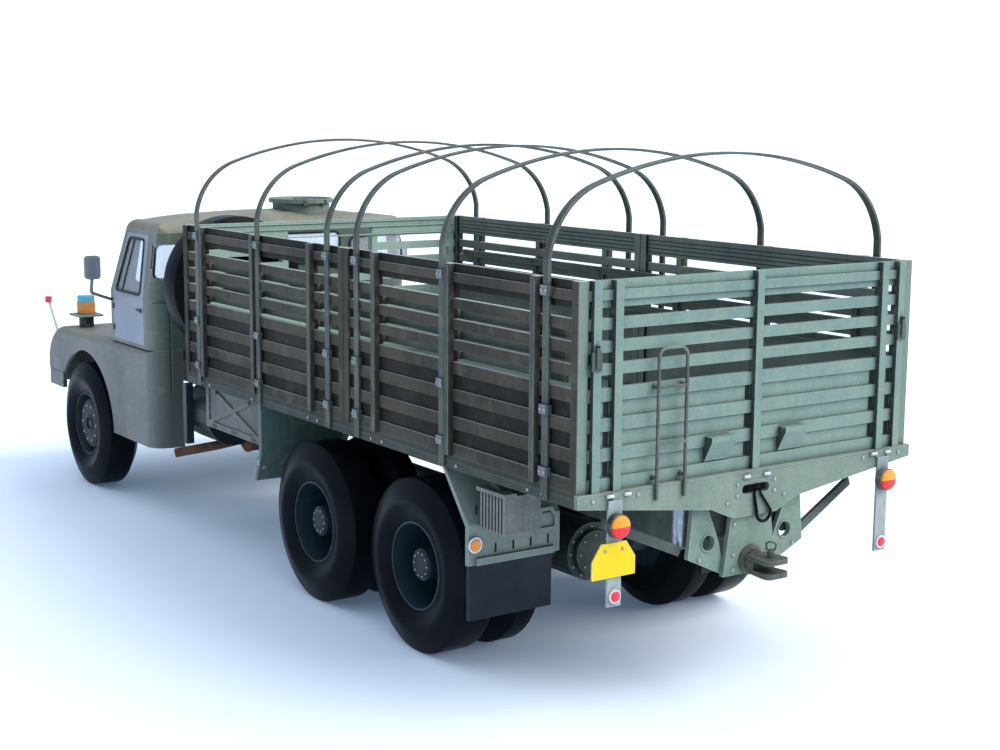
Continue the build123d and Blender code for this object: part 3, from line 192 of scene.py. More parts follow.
match = put(aged, "ShaderNodeVectorMath", {0: facing, 1: rounded}, operation="DOT_PRODUCT").outputs["Value"]
worn = math_of(aged, "MULTIPLY", span(aged, match, 0.985, 0.86), span(aged, corner, 0.62, 0.85))
worn = math_of(aged, "MULTIPLY", worn, span(aged, rubbed, 0.34, 0.52, 0.35, 1.0))
worn = math_of(aged, "MULTIPLY", worn, given["Cut Amount"])
up = put(aged, "ShaderNodeSeparateXYZ", {0: facing}).outputs["Z"]
worn = math_of(aged, "MAXIMUM", worn, math_of(aged, "MULTIPLY", span(aged, up, 0.8, 0.95), given["Top Cut"]))
tone = blend(aged, worn, tone, given["Cut"])
matt = math_of(aged, "ADD", given["Matt"], span(aged, cloud, 0.3, 0.7, -0.08, 0.10))
relief = math_of(aged, "ADD", math_of(aged, "MULTIPLY", grain, 0.5), math_of(aged, "MULTIPLY", rain, 0.5))
put(aged, "NodeGroupOutput", {"Color": tone, "Roughness": matt, "Height": relief})


def tune(finish, socket, value):
    """Sets one amount of a finish's shader."""
    finish.node_tree.nodes["Principled BSDF"].inputs[socket].default_value = value


def card(name, printed, shade, rubbed, cut, relief=0.00004, **amounts):
    """A printed card finish: four colours in thousandths, then amounts of wear and of painted corner shade."""
    finish = bpy.data.materials.new(name)
    finish.use_nodes = True
    tree = finish.node_tree
    wear = put(tree, "ShaderNodeGroup", node_tree=aged)
    wear.name = "wear"
    for socket, colour in (("Printed", printed), ("Shade", shade), ("Rubbed", rubbed), ("Cut", cut)):
        wear.inputs[socket].default_value = rgba(colour)
    for socket, amount in amounts.items():
        wear.inputs[socket.replace("_", " ").title()].default_value = amount
    shader = tree.nodes["Principled BSDF"]
    tune(finish, "Specular IOR Level", 0.3)
    tree.links.new(wear.outputs["Color"], shader.inputs["Base Color"])
    tree.links.new(wear.outputs["Roughness"], shader.inputs["Roughness"])
    bump = put(tree, "ShaderNodeBump", {"Height": wear.outputs["Height"], "Distance": relief})
    tree.links.new(bump.outputs["Normal"], shader.inputs["Normal"])
    return finish


def dress(finish, *names):
    """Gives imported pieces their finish."""
    for name in names:
        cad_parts[name].data.materials.clear()
        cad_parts[name].data.materials.append(finish)


def paint(finish, **tones):
    """Prints masked colours on a card finish: Printed, Shade or Rubbed."""
    for socket, tone in tones.items():
        finish.node_tree.links.new(tone, finish.node_tree.nodes["wear"].inputs[socket])


def begin(shape, place=(0, 0, 0), turned=(0, 0, 0), scale=(1, 1, 1), **sizes):
    """Adds a primitive at its place, ready to be shaped in edit mode in the frame's own axes."""
    bpy.ops.object.select_all(action="DESELECT")
    if shape != "torus":
        sizes["scale"] = scale
    getattr(bpy.ops.mesh, f"primitive_{shape}_add")(location=place, rotation=turned, **sizes)
    bpy.ops.object.transform_apply(location=True, rotation=True, scale=True)
    bpy.ops.object.mode_set(mode="EDIT")


def drum(place, along, radius, depth, facets=36):
    """Adds a drum along X, Y or Z (0, 1 or 2), sized in millimetres, ready to be shaped."""
    begin("cylinder", place, ((0, math.pi / 2, 0), (math.pi / 2, 0, 0), (0, 0, 0))[along],
          vertices=facets, radius=radius / 1000, depth=depth / 1000)


def pick(test, kind="FACE"):
    """Selects the faces or edges in hand that pass a test."""
    bpy.ops.mesh.select_mode(type=kind)
    bpy.ops.mesh.select_all(action="DESELECT")
    shape = bmesh.from_edit_mesh(bpy.context.object.data)
    for item in (shape.faces if kind == "FACE" else shape.edges):
        if test(item):
            item.select_set(True)
    bmesh.update_edit_mesh(bpy.context.object.data)


def pull(x=0.0, y=0.0, z=0.0, inset=0.0):
    """Insets the picked faces, then extrudes them by millimetres."""
    if inset:
        bpy.ops.mesh.inset(thickness=inset / 1000, depth=0)
    if x or y or z:
        bpy.ops.mesh.extrude_region_move(TRANSFORM_OT_translate={"value": (x / 1000, y / 1000, z / 1000)})


def crown(along, way, *steps):
    """Picks the face that looks an axis's way, then insets and pushes it out in turn by millimetres."""
    pick(lambda face: face.normal[along] * way > 0.9)
    for inset, push in steps:
        pull(*(way * push if axis == along else 0.0 for axis in range(3)), inset)


def squeeze(share):
    """Scales what is picked towards the Y axis."""
    bpy.ops.transform.resize(value=(share, 1, share), center_override=(0, 0, 0))


def break_edges(broken):
    """Bevels every edge in hand by millimetres."""
    bpy.ops.mesh.select_all(action="SELECT")
    bpy.ops.mesh.bevel(offset=broken / 1000, segments=2, affect="EDGES")


def shaped(bevel=0.0, steps=2, smooth=None):
    """Ends edit mode, breaks the sharp edges by millimetres and smooths the round faces."""
    if bpy.context.object.mode == "EDIT":
        bpy.ops.object.mode_set(mode="OBJECT")
    piece = bpy.context.object
    if bevel:
        rounding = piece.modifiers.new("rounding", "BEVEL")
        rounding.width, rounding.segments, rounding.limit_method = bevel / 1000, steps, "ANGLE"
        bpy.ops.object.modifier_apply(modifier="rounding")
    if smooth:
        bpy.ops.object.shade_smooth_by_angle(angle=math.radians(smooth))
    piece.select_set(False)
    return piece


def join(parts):
    """Several shapes made one mesh."""
    bpy.ops.object.select_all(action="DESELECT")
    for part in parts:
        part.select_set(True)
    bpy.context.view_layer.objects.active = parts[0]
    bpy.ops.object.join()
    parts[0].select_set(False)
    return parts[0]


def copies(shape, moves, keep=False):
    """The shape again at each move, a shift or a matrix, joined in one mesh."""
    made = []
    for move in moves:
        again = shape.copy()
        again.data = shape.data.copy()
        place = move if isinstance(move, Matrix) else Matrix.Translation(move)
        again.data.transform(place)
        if place.determinant() < 0:
            again.data.flip_normals()
        bpy.context.collection.objects.link(again)
        made.append(again)
    if not keep:
        bpy.data.objects.remove(shape)
    return join(made)


def fit(piece, name, finish, body="truck"):
    """Names a finished piece, gives it its material and mounts it on its body."""
    piece.name = piece.data.name = name
    piece.data.materials.clear()
    piece.data.materials.append(finish)
    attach(piece, body)
    return piece


black_card = card("satin_black_card", (4.5, 6, 8.5), (3, 3.5, 4.5), (9, 11, 15), (60, 70, 80), relief=0.00003,
                  matt=0.36, shading=0.5, rubbing=0.5, cut_amount=0.5, cut_width=0.00015, patches=45.0, streaks=0.1,
                  dirt=0.3)
tune(black_card, "Specular IOR Level", 0.05)


def drum_form(bulge):
    """A tyre whose outer side ring is near y = 0; with a bulge, its flank rises to a ridge and falls to the rim."""
    crease = 0.1 if bulge else -flank_width
    inner_crease = flank_width - tyre_width
    drum((0, (crease + inner_crease) / 2000, 0), 1, tyre_radius, crease - inner_crease, 96)
    for side in (1, -1):
        crown(1, side)
        if bulge and side > 0:
            pull(y=2.2)
            squeeze(ridge_share)
            pull(y=-1.7)
            squeeze(rim_share)
        else:
            pull(y=side * flank_width)
            squeeze(flank_share)
            pull(inset=6.25)
        bpy.ops.mesh.delete(type="ONLY_FACE")
    pick(lambda edge: edge.is_boundary, "EDGE")
    bpy.ops.mesh.bridge_edge_loops()
    if bulge:
        pick(lambda edge: all(vert.co.y > 0.0021 for vert in edge.verts), "EDGE")
        bpy.ops.mesh.bevel(offset=0.0011, segments=4, affect="EDGES")
    return shaped(bevel=0.22, smooth=35)


outer_tyre, inner_tyre = drum_form(True), drum_form(False)


def handed(x, y, z, side):
    """The move of a piece modelled for the left to its place there (1) or, mirrored, on the right (-1)."""
    return Matrix.Translation(at(x, side * y, z)) @ Matrix.Scale(side, 4, (0, 1, 0))


def one_more(shape, move, name, finish, body="truck"):
    """A copy of a modelled shape with a mesh of its own, in its place."""
    return fit(copies(shape, [move], keep=True), name, finish, body)


hands = (("left", 1), ("right", -1))
# axle: name, ahead of the tail, outer face, tyres side by side
wheel_stations = [("front", 283.4, 47.1, 1), ("middle", 117.3, 46.7, 2), ("rear", 66.1, 46.7, 2)]
twin_step = 13.2
for axle, ahead, face, count in wheel_stations:
    for hand, side in hands:
        body = f"{axle}_{hand}_wheel"
        outer = one_more(outer_tyre, handed(ahead, face, tyre_radius, side), f"{axle}_{hand}_drum",
                         black_card, body)
        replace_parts(outer, f"{axle}_{hand}_tyre")
        if count == 2:
            one_more(inner_tyre, handed(ahead, face - twin_step, tyre_radius, side), f"{axle}_{hand}_twin",
                     black_card, body)
spare_move = Matrix.Translation(at(202.8, 27.0, 76.23)) @ Matrix.Rotation(math.pi / 2, 4, "Z")
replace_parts(one_more(outer_tyre, spare_move, "spare_drum", black_card), "spare_tyre")

# ==== Rims and hubs ====
# A rim is a deep bowl of dark printed card; the twin wheels' hub stands in
# it as a tube with a disc, the front hub as a wide disc with a bored cap.
rim_card = card("dark_teal_card", (8, 24, 36), (5, 13, 19), (22, 42, 52), (160, 200, 210), matt=0.5, shading=0.7,
                cut_amount=0.9, cut_width=0.0002, patches=120.0, streaks=0.2, dirt=0.7)
hub_card = card("hub_grey_card", (16, 21, 32), (10, 13, 21), (34, 38, 50), (120, 130, 140), matt=0.5, shading=0.5,
                rubbing=0.5, cut_amount=0.4, cut_width=0.00015, patches=160.0, streaks=0.1, dirt=0.4)
bolt_silver = card("rubbed_bolt_card", (340, 370, 400), (200, 220, 250), (500, 520, 540), (600, 600, 600), matt=0.35,
                   shading=0.4, rubbing=0.3, cut_amount=0.2, cut_width=0.0001, patches=300.0, streaks=0.1, dirt=0.2)


def rim_bowl(out, back, bowl, hub_radius, hub_out, bore_end):
    """A bowl from `out` to `back` millimetres inboard of the tyre's face, which is at y = 0."""
    drum((0, -(out + back) / 2000, 0), 1, 10.9, back - out, 72)
    crown(1, 1, (0.2, 0.1), (0.25, -(bowl - out) * 0.55))
    squeeze(0.965)
    pull(y=-(bowl - out) * 0.45 - 0.15)
    squeeze(0.93)
    pull(inset=9.05 - hub_radius)
    pull(y=bowl - hub_out)
    crown(1, -1, (8.85, bore_end - back))
    return shaped(bevel=0.12, smooth=32)


def bolt_ring(radius, count, size, height, face_y):
    """Small domed bolt heads round the axle, standing on a face at face_y millimetres."""
    drum((radius / 1000, (face_y + height / 2) / 1000, 0), 1, size, height, 8)
    crown(1, 1)
    bpy.ops.mesh.bevel(offset=size * 0.35 / 1000, segments=2, affect="EDGES")
    bpy.ops.mesh.select_all(action="SELECT")
    bpy.ops.mesh.spin(steps=count - 1, dupli=True, angle=2 * math.pi * (count - 1) / count,
                      center=(0, 0, 0), axis=(0, 1, 0))
    return shaped(smooth=40)


def front_cap():
    """The front hub's disc, with its bored cap and the axle's end in the bore."""
    drum((0, -0.0007, 0), 1, 7.8, 0.4, 48)
    crown(1, 1, (0.5, 0.12), (4.3, 0.35), (0.8, -1.3), (1.0, 0.9))
    return shaped(bevel=0.1, smooth=35)


twin_rim = rim_bowl(-0.6, 24.0, 11.2, 3.6, 1.2, 3.4)
front_rim = rim_bowl(-0.5, 11.0, 4.6, 8.0, 0.9, 2.2)
twin_disc = bolt_ring(2.9, 10, 0.27, 0.22, -0.96)
front_disc = bolt_ring(6.2, 10, 0.48, 0.35, -0.45)
cap = front_cap()
drum((0, -0.0011, 0), 1, 3.6, 0.2, 40)
crown(1, 1, (0.25, 0.06))
twin_plate = shaped(bevel=0.05, smooth=35)
for axle, ahead, face, count in wheel_stations:
    for hand, side in hands:
        body, move = f"{axle}_{hand}_wheel", handed(ahead, face, tyre_radius, side)
        rim, disc, plate = (twin_rim, twin_disc, twin_plate) if count == 2 else (front_rim, front_disc, cap)
        bowl = one_more(rim, move, f"{axle}_{hand}_bowl", rim_card, body)
        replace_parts(bowl, f"{axle}_{hand}_rim")
        one_more(plate, move, f"{axle}_{hand}_hub_disc", hub_card, body)
        one_more(disc, move, f"{axle}_{hand}_hub_bolts", bolt_silver, body)
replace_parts(one_more(front_rim, spare_move, "spare_bowl", rim_card), "spare_rim")
one_more(cap, spare_move, "spare_hub_disc", hub_card)
one_more(front_disc, spare_move, "spare_hub_bolts", bolt_silver)
for shape in (outer_tyre, inner_tyre, twin_rim, front_rim, twin_disc, front_disc, cap, twin_plate):
    bpy.data.objects.remove(shape)

# ==== Backbone tube, final drives and half-axles ====
# The chassis is a card tube with a drum-shaped final drive at each axle;
# the half-axles are square-cut tubes with bell hubs, all printed dark.
chassis_card = card("dark_chassis_card", (75, 95, 80), (30, 38, 35), (120, 130, 100), (220, 250, 210), matt=0.62,
                    shading=0.8, cut_amount=0.6, cut_width=0.00025, patches=80.0, streaks=0.3, dirt=0.8)
dress(chassis_card, "backbone_tube", "half_axles", "frame_rails", "spare_carrier")

# Rings of bolt heads on the rear final drive, turned to face the tail
for name, x, ring, size, count in (("drive_studs", 57.5, 6.6, 0.34, 12), ("cover_studs", 55.9, 4.6, 0.3, 8)):
    move = Matrix.Translation(at(x, 0, 20.03)) @ Matrix.Rotation(math.pi / 2, 4, "Z")
    fit(copies(bolt_ring(ring, count, size, 0.3, 0.0), [move]), name, bolt_silver)

# Clamps round the tube, between the axles and ahead of them
drum(at(91.7, 0, 22.53), 0, 5.2, 1.6, 40)
break_edges(0.2)
fit(copies(shaped(smooth=35), [(0, 0, 0), (0.0085, 0, 0), (-0.0085, 0, 0), (0.06, 0, 0), (0.09, 0, 0), (0.13, 0, 0)]),
    "tube_clamps", chassis_card)

# ==== Bed floor and its bearers ====
# The floor is one sheet printed as long planks with dark joints, on tapered
# cross bearers and thin edge rails of folded card.
sage = dict(printed=(178, 252, 208), shade=(122, 202, 182), rubbed=(240, 285, 195), cut=(360, 410, 340))


def coords(tree):
    """X, Y and Z of the place that is printed."""
    return put(tree, "ShaderNodeSeparateXYZ", {0: put(tree, "ShaderNodeTexCoord").outputs["Object"]}).outputs


def normals(tree):
    """X, Y and Z of the way that the surface faces."""
    return put(tree, "ShaderNodeSeparateXYZ", {0: put(tree, "ShaderNodeNewGeometry").outputs["Normal"]}).outputs


plank_card = card("planked_floor_card", **sage, matt=0.62, shading=0.8, rubbing=0.5, cut_amount=0.2, patches=50.0,
                  streaks=0.1, dirt=0.7)
tree = plank_card.node_tree
planks_a_metre = 118.0
across = math_of(tree, "FRACT", math_of(tree, "MULTIPLY", coords(tree)["Y"], planks_a_metre))
joint = span(tree, math_of(tree, "ABSOLUTE", math_of(tree, "SUBTRACT", across, 0.5)), 0.47, 0.49)
edge = span(tree, math_of(tree, "ABSOLUTE", normals(tree)["Y"]), 0.4, 0.6)
tone = blend(tree, joint, (165, 215, 175), (30, 35, 30))
tone = blend(tree, edge, tone, (36, 40, 30))
shade = blend(tree, edge, (125, 190, 168), (20, 24, 20))
rubbed = blend(tree, edge, (240, 285, 195), (65, 68, 50))
paint(plank_card, Printed=tone, Shade=shade, Rubbed=rubbed)
dress(plank_card, "bed_floor")

bearer_card = card("bearer_card", (48, 56, 42), (26, 32, 26), (80, 88, 66), (240, 270, 220), matt=0.62, shading=0.7,
                   rubbing=0.5, cut_amount=0.35, patches=70.0, streaks=0.3, dirt=0.8)
dress(bearer_card, "bed_bearers")

# ==== Bed walls ====
# Boards and slats are strips of card on a backing, with posts glued over
# them; inside they keep the light print, outside the sides are nearly black
# brown, partly weathered and partly painted shade, darker still in the recessed
# rows as painted shade, and the white core shows along the top edges.
gate_card = card("gate_card", **sage, matt=0.58, shading=0.75, rubbing=0.6, cut_amount=0.45, cut_width=0.00022,
                 patches=75.0, streaks=0.35, dirt=0.75)
tree = gate_card.node_tree
# Painted shade: the gate's faces turned to the left and its faces turned down are printed dark
facing = normals(tree)
shaded = math_of(tree, "MAXIMUM", span(tree, facing["Y"], 0.5, 0.8), span(tree, facing["Z"], -0.5, -0.8))
shaded = math_of(tree, "MULTIPLY", shaded, 0.85)
paint(gate_card, Printed=blend(tree, shaded, sage["printed"], (22, 28, 25)),
      Shade=blend(tree, shaded, sage["shade"], (22, 28, 25)))
dress(gate_card, "tailgate")
wall_card = card("front_wall_card", (350, 480, 400), (260, 370, 320), (420, 500, 370), (420, 480, 400), matt=0.58,
                 shading=0.7, rubbing=0.6, cut_amount=0.45, patches=75.0, streaks=0.3)
dress(wall_card, "front_wall")

side_card = card("weathered_and_shaded_side_card", (28, 29, 21), (9, 10, 9), (78, 80, 60), (420, 440, 440), shading=0.85,
                 rubbing=0.7, cut_amount=0.16, cut_width=0.00025, top_cut=0.9, patches=48.0, streaks=0.25, dirt=0.85)
tree = side_card.node_tree
place = coords(tree)
inside = span(tree, math_of(tree, "MULTIPLY", normals(tree)["Y"], math_of(tree, "SIGN", place["Y"])), -0.4, -0.6)
rear_end = span(tree, place["X"], tail + 0.0004, tail + 0.0002)
raised = span(tree, math_of(tree, "ABSOLUTE", place["Y"]), 0.04865, 0.04890)
# Outside, the print is nearly black brown, partly weathering and partly painted shade; the recessed rows are painted
# darker still as shade
for socket, band, recess, inner in (("Printed", (74, 62, 45), (22, 19, 13), (215, 235, 200)),
                                    ("Shade", (34, 32, 26), (8, 10, 9), (150, 165, 145)),
                                    ("Rubbed", (125, 112, 88), (45, 42, 32), (270, 285, 230))):
    outer = blend(tree, rear_end, blend(tree, raised, recess, band), (165, 215, 175))
    paint(side_card, **{socket: blend(tree, inside, outer, inner)})
tune(side_card, "Specular IOR Level", 0.12)
dress(side_card, "side_left", "side_right")

post_card = card("side_post_card", (62, 74, 58), (30, 36, 30), (130, 146, 116), (340, 370, 330), matt=0.55,
                 shading=0.8, rubbing=0.7, cut_amount=0.9, cut_width=0.00035, streaks=0.6, dirt=0.7)


def slab(low, high, broken=0.1):
    """A bar or plate between two corners, its edges broken by millimetres."""
    low, high = Vector(low), Vector(high)
    begin("cube", (low + high) / 2, scale=high - low, size=1)
    break_edges(broken)
    return shaped()


def bars(name, finish, rows, broken=0.1, sides=(1, -1)):
    """Bars on the left (1) and right (-1): rear, front, middle, half width, low, high and, at will, their own edge."""
    parts = [slab(at(rear, side * middle - half, low), at(front, side * middle + half, high), own[0] if own else broken)
             for side in sides for rear, front, middle, half, low, high, *own in rows]
    return fit(join(parts), name, finish)


# Facing strips on the sides' posts, a little narrower than the posts
post_xs = [15.0, 48.06, 81.12, 114.18, 147.24, 180.3]
facing_strip = slab((-0.0008, 0, 0.05263), (0.0008, 0.00022, 0.09613))
for hand, side in hands:
    moves = [handed(x, 49.98, 0, side) for x in post_xs]
    fit(copies(facing_strip, moves, keep=side == 1), f"{hand}_post_facings", post_card)

# Painted shadows of the posts: dark sheets at the ends of the recessed rows, beside the posts
shadow_and_gap_card = card("shadow_and_gap_black_card", (12, 14, 14), (8, 9, 9), (30, 32, 30), (50, 50, 50), matt=0.7, shading=0.5,
                  rubbing=0.3, cut_amount=0.1, dirt=0.2)
recess_zs = (56.98, 63.28, 69.58)
post_shadow_sheet = slab((-0.0006, -0.00002, -0.00150), (0.0006, 0.00005, 0.00150), 0.02)
row_xs = [x + 1.75 for x in post_xs] + [3.2, 94.0, 99.8, 190.6]
moves = [handed(x, 48.42, z, side) for x in row_xs for z in recess_zs for side in (1, -1)]
fit(copies(post_shadow_sheet, moves), "side_post_shadows", shadow_and_gap_card)
post_shadow_sheet = slab((-0.00005, -0.00065, -0.00150), (0.00002, 0.00065, 0.00150), 0.02)
moves = [at(0.58, y, z) for y in (41.6, 1.9, -37.6, -43.2) for z in recess_zs]
fit(copies(post_shadow_sheet, moves), "gate_post_shadows", shadow_and_gap_card)

# Pale hinge pins beside the gate's posts, and small bolts along the floor's edge rails
pin_card = card("pale_pin_card", (550, 570, 550), (380, 410, 400), (700, 700, 680), (800, 800, 800), matt=0.45,
                shading=0.5, rubbing=0.3, cut_amount=0.2, patches=200.0, dirt=0.4)


def round_head(radius, along, length=1.0):
    """A small bolt head or pin along X (0) or Y (1), with the same domed crown at both ends."""
    drum((0, 0, 0), along, radius, radius * length, 16)
    pick(lambda face: abs(face.normal[along]) > 0.9)
    for inward, out in ((0.22, 0.24), (0.34, 0.14)):
        bpy.ops.mesh.inset(thickness=radius * inward / 1000, depth=radius * out / 1000)
    return shaped(smooth=60)


pin = round_head(0.4, 1, length=4.0)
moves = [at(-1.75, y + shift, 51.6) for y in (-39.5, 39.5) for shift in (2.3, -2.3)]
moves += [at(-1.5, y, 51.0) for y in (3.0, -3.0)]
fit(copies(pin, moves), "gate_hinge_pins", pin_card)
bolt = round_head(0.42, 1)
moves = [at(x + shift, side * 48.95, 50.2) for x in post_xs for shift in (-2.6, 2.6) for side in (1, -1)]
fit(copies(bolt, moves), "edge_rail_bolts", bolt_silver)

# Drop catches at the gate's upper corners: a plate, a latch and its hook
catches = [(-1.35, -0.95, 45.4, 1.3, 78.0, 82.0), (-1.75, -1.30, 45.4, 0.4, 78.6, 83.4),
           (-1.75, -0.20, 45.4, 0.4, 82.8, 83.5)]
bars("gate_catches", chassis_card, catches)

# The front wall's inner face is ribbed with thin lathes between its boards
bars("front_wall_lathes", wall_card,
     [(191.95, 192.30, 0, 45.8, z - 0.18, z + 0.18) for z in (95.6, 93.9, 91.4)], 0.05, sides=(1,))

# Fine grooves printed along the inside of the sides' top boards
bars("top_board_grooves", shadow_and_gap_card,
     [(4.0, 190.0, 47.56, 0.05, z, z + 0.14) for z in (91.6, 92.7, 93.8, 94.9)], 0.02)

# ==== Folding benches ====
# Three slats of card a side hang folded against the boards, on short
# brackets with small bolts.
bench_card = card("bench_card", (105, 120, 92), (62, 70, 55), (165, 170, 125), (450, 480, 420), shading=0.8,
                  rubbing=0.6, top_cut=0.35, streaks=0.2)
dress(bench_card, "benches")
bolt = round_head(0.35, 1)
moves = [at(x, side * 45.6, z) for x in post_xs for z in (75.5, 80.2, 84.9) for side in (1, -1)]
fit(copies(bolt, moves), "bench_bolts", chassis_card)

# ==== Ladder ====
# A bent wire frame with two rungs, painted, with a painted highlight along its
# bent top, is hooked on the gate beside its middle.
ladder_paint = card("ladder_paint", (85, 100, 85), (40, 46, 42), (240, 250, 190), (400, 420, 340), matt=0.45,
                    shading=0.7, rubbing=0.6, cut_amount=0.5, cut_width=0.00025, patches=140.0, streaks=0.2)
tree = ladder_paint.node_tree
# Painted highlight: the bent top is printed pale where it catches the light
top_highlight = span(tree, coords(tree)["Z"], 0.0795, 0.0830)
paint(ladder_paint, Printed=blend(tree, top_highlight, (85, 100, 85), (250, 270, 200)))
ladder_x = -1.7                                  # behind the gate
near, far, low, high, bend, thick = 21.5, 29.3, 49.13, 81.63, 2.0, 0.62
begin("cube", at(ladder_x, near, low + thick / 2), size=thick / 1000)
pick(lambda face: face.normal.z > 0.9)
pull(z=high - bend - low - thick)
bpy.ops.mesh.spin(steps=6, angle=math.pi / 2, center=at(ladder_x, near + bend, high - bend), axis=(1, 0, 0))
pull(y=far - near - 2 * bend)
bpy.ops.mesh.spin(steps=6, angle=math.pi / 2, center=at(ladder_x, far - bend, high - bend), axis=(1, 0, 0))
pull(z=low + bend - high)
bpy.ops.mesh.select_all(action="SELECT")
bpy.ops.mesh.remove_doubles(threshold=0.000005)
bpy.ops.mesh.normals_make_consistent(inside=False)
parts = [shaped(bevel=0.12, smooth=50)]
half = thick / 2
parts += [slab(at(ladder_x - half, near, z - half), at(ladder_x + half, far, z + half)) for z in (61.23, 73.33)]
parts += [slab(at(ladder_x, y - 0.4, z - 0.4), at(0, y + 0.4, z + 0.4)) for y in (near, far) for z in (53.83, 73.33)]
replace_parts(fit(join(parts), "wire_ladder", ladder_paint), "ladder")

# ==== Canvas hoops ====
# Flat strips bent over the bed in three pairs, standing outside the boards
# in pale clips; their cut edges catch the light.
hoop_card = card("hoop_strip_card", (78, 92, 74), (40, 46, 40), (145, 156, 126), (400, 420, 390), matt=0.5,
                 shading=0.8, rubbing=0.6, cut_amount=0.55, cut_width=0.00028, patches=70.0, streaks=0.3)
dress(hoop_card, "hoops_rear", "hoops_middle", "hoops_front")
hoop_xs, clip_zs = (11.0, 51.0, 90.0, 105.0, 144.5, 183.7), (55.53, 68.83, 93.83)
clip_card = card("pale_clip_card", (200, 235, 215), (120, 145, 135), (270, 290, 260), (500, 520, 500), matt=0.5,
                 shading=0.7, rubbing=0.5, cut_amount=0.6, cut_width=0.0002, patches=160.0)
clip = slab((-0.0011, 0, -0.0010), (0.0011, 0.00018, 0.0010), 0.05)
moves = [handed(x, 50.02, z, side) for x in hoop_xs for z in clip_zs for side in (1, -1)]
fit(copies(clip, moves), "hoop_clip_plates", clip_card)
bolt = round_head(0.36, 1)
moves = [at(x + shift, side * 50.18, z) for x in hoop_xs for z in clip_zs
         for shift in (-0.75, 0.75) for side in (1, -1)]
fit(copies(bolt, moves), "hoop_clip_bolts", bolt_silver)

# ==== Rear sill and its loop ====
# The sill is a plate of folded card across the tail, with a slot in the
# middle, bolts at the slot's corners and a black cord loop hanging from it.
sill_card = card("sill_card", (185, 235, 180), (135, 185, 155), (240, 265, 180), (420, 460, 400), matt=0.58,
                 shading=0.7, rubbing=0.6, patches=70.0, streaks=0.3)
dress(sill_card, "rear_sill")
begin("torus", at(-1.75, -2.1, 42.4), (0, math.pi / 2, 0), major_radius=0.0021, minor_radius=0.00036,
      major_segments=36, minor_segments=10)
pick(lambda face: face.calc_center_median().z > 0.0430)
bpy.ops.transform.translate(value=(0.0002, 0.0019, 0.0040))
bpy.ops.transform.resize(value=(1, 0.45, 1.15))
fit(shaped(smooth=180), "sill_loop", black_card)
bolt = round_head(0.43, 0, length=0.6)
moves = [at(-1.25, side * y, z) for y, z in ((5.6, 46.9), (5.6, 49.4), (8.6, 45.6), (46.0, 50.9), (34.0, 50.9))
         for side in (1, -1)]
fit(copies(bolt, moves), "sill_bolts", bolt_silver)
bars("sill_pale_strips", clip_card,
     [(-1.32, -1.18, 0, 4.9, 49.6, 50.0), (-1.34, -1.2, 0, 44, 51.95, 52.15)], 0.04, sides=(1,))

# ==== Hitch frame and tow jaw ====
# A plate with two drilled gussets carries the jaw, two rounded lips with a
# drop pin; a silver roll and a slanted brace stand behind the plate.
hitch_card = card("hitch_card", (180, 250, 195), (118, 172, 142), (240, 285, 198), (420, 460, 400), matt=0.58,
                  shading=0.7, rubbing=0.6, patches=90.0, streaks=0.3)
dress(hitch_card, "hitch_frame")
jaw_card = card("jaw_card", (85, 92, 66), (40, 44, 36), (150, 145, 100), (260, 270, 200), matt=0.5, shading=0.8,
                rubbing=0.7, cut_amount=0.6, patches=220.0, streaks=0.1)
dress(jaw_card, "tow_jaw")
begin("torus", at(-6.6, 0, 35.9), (math.pi / 2, 0, 0.5), major_radius=0.00105, minor_radius=0.00024,
      major_segments=24, minor_segments=8)
pick(lambda face: face.calc_center_median().z > 0.0361)
bpy.ops.transform.resize(value=(1.15, 1.15, 0.8))
fit(shaped(smooth=180), "pin_handle", jaw_card)
drum(at(-0.25, 0, 31.4), 0, 3.4, 0.6, 28)
crown(0, -1, (0.5, 0.5), (0.6, -0.25))
fit(shaped(bevel=0.08, smooth=35), "jaw_collar", jaw_card)


def flat_ring(place, large, small, squash, facets=36):
    """A ring round the X axis, squashed along it, in millimetres."""
    begin("torus", place, (0, math.pi / 2, 0), major_radius=large / 1000, minor_radius=small / 1000,
          major_segments=facets, minor_segments=8)
    bpy.ops.mesh.select_all(action="SELECT")
    bpy.ops.transform.resize(value=(squash, 1, 1))
    return shaped(smooth=180)


eyelet = flat_ring(at(1.1, 11.6, 36.53), 1.95, 0.2, 0.6, 32)
fit(copies(eyelet, [(0, 0, 0), (0, -0.0232, 0)]), "gusset_eyelets", hitch_card)
moves = [at(-0.05, y, z) for y in (5.2, -5.2) for z in (29.7, 33.2, 40.2)] + [at(1.15, y, 33.0) for y in (14.2, -14.2)]
fit(copies(round_head(0.42, 0), moves), "hitch_bolts", bolt_silver)
drum(at(5.4, 16.4, 39.9), 2, 1.7, 8.8, 32)
pick(lambda face: abs(face.normal.z) > 0.9)
pull(inset=0.25)
bpy.ops.transform.resize(value=(1, 1, 1.03))
pick(lambda face: abs(face.normal.z) < 0.5)
bpy.ops.mesh.subdivide(number_cuts=1)
roll_card = card("silver_roll_card", (460, 500, 540), (200, 230, 260), (660, 700, 740), (700, 700, 700), matt=0.3,
                 shading=0.8, rubbing=0.8, cut_amount=0.3, patches=190.0, streaks=0.5, dirt=0.4)
tune(roll_card, "Metallic", 0.6)
fit(copies(shaped(bevel=0.1, smooth=40), [(0, 0, 0), (0, -0.0328, 0)]), "rail_end_rolls", roll_card)


def between(start, end, wide, high):
    """The move that lays a bar one metre long on Z, one wide and one high, from start to end."""
    start, end = Vector(start), Vector(end)
    length = (end - start).length
    lie = (end - start).to_track_quat("Z", "Y").to_matrix().to_4x4()
    return Matrix.Translation((start + end) / 2) @ lie @ Matrix.Diagonal((wide, high, length, 1))


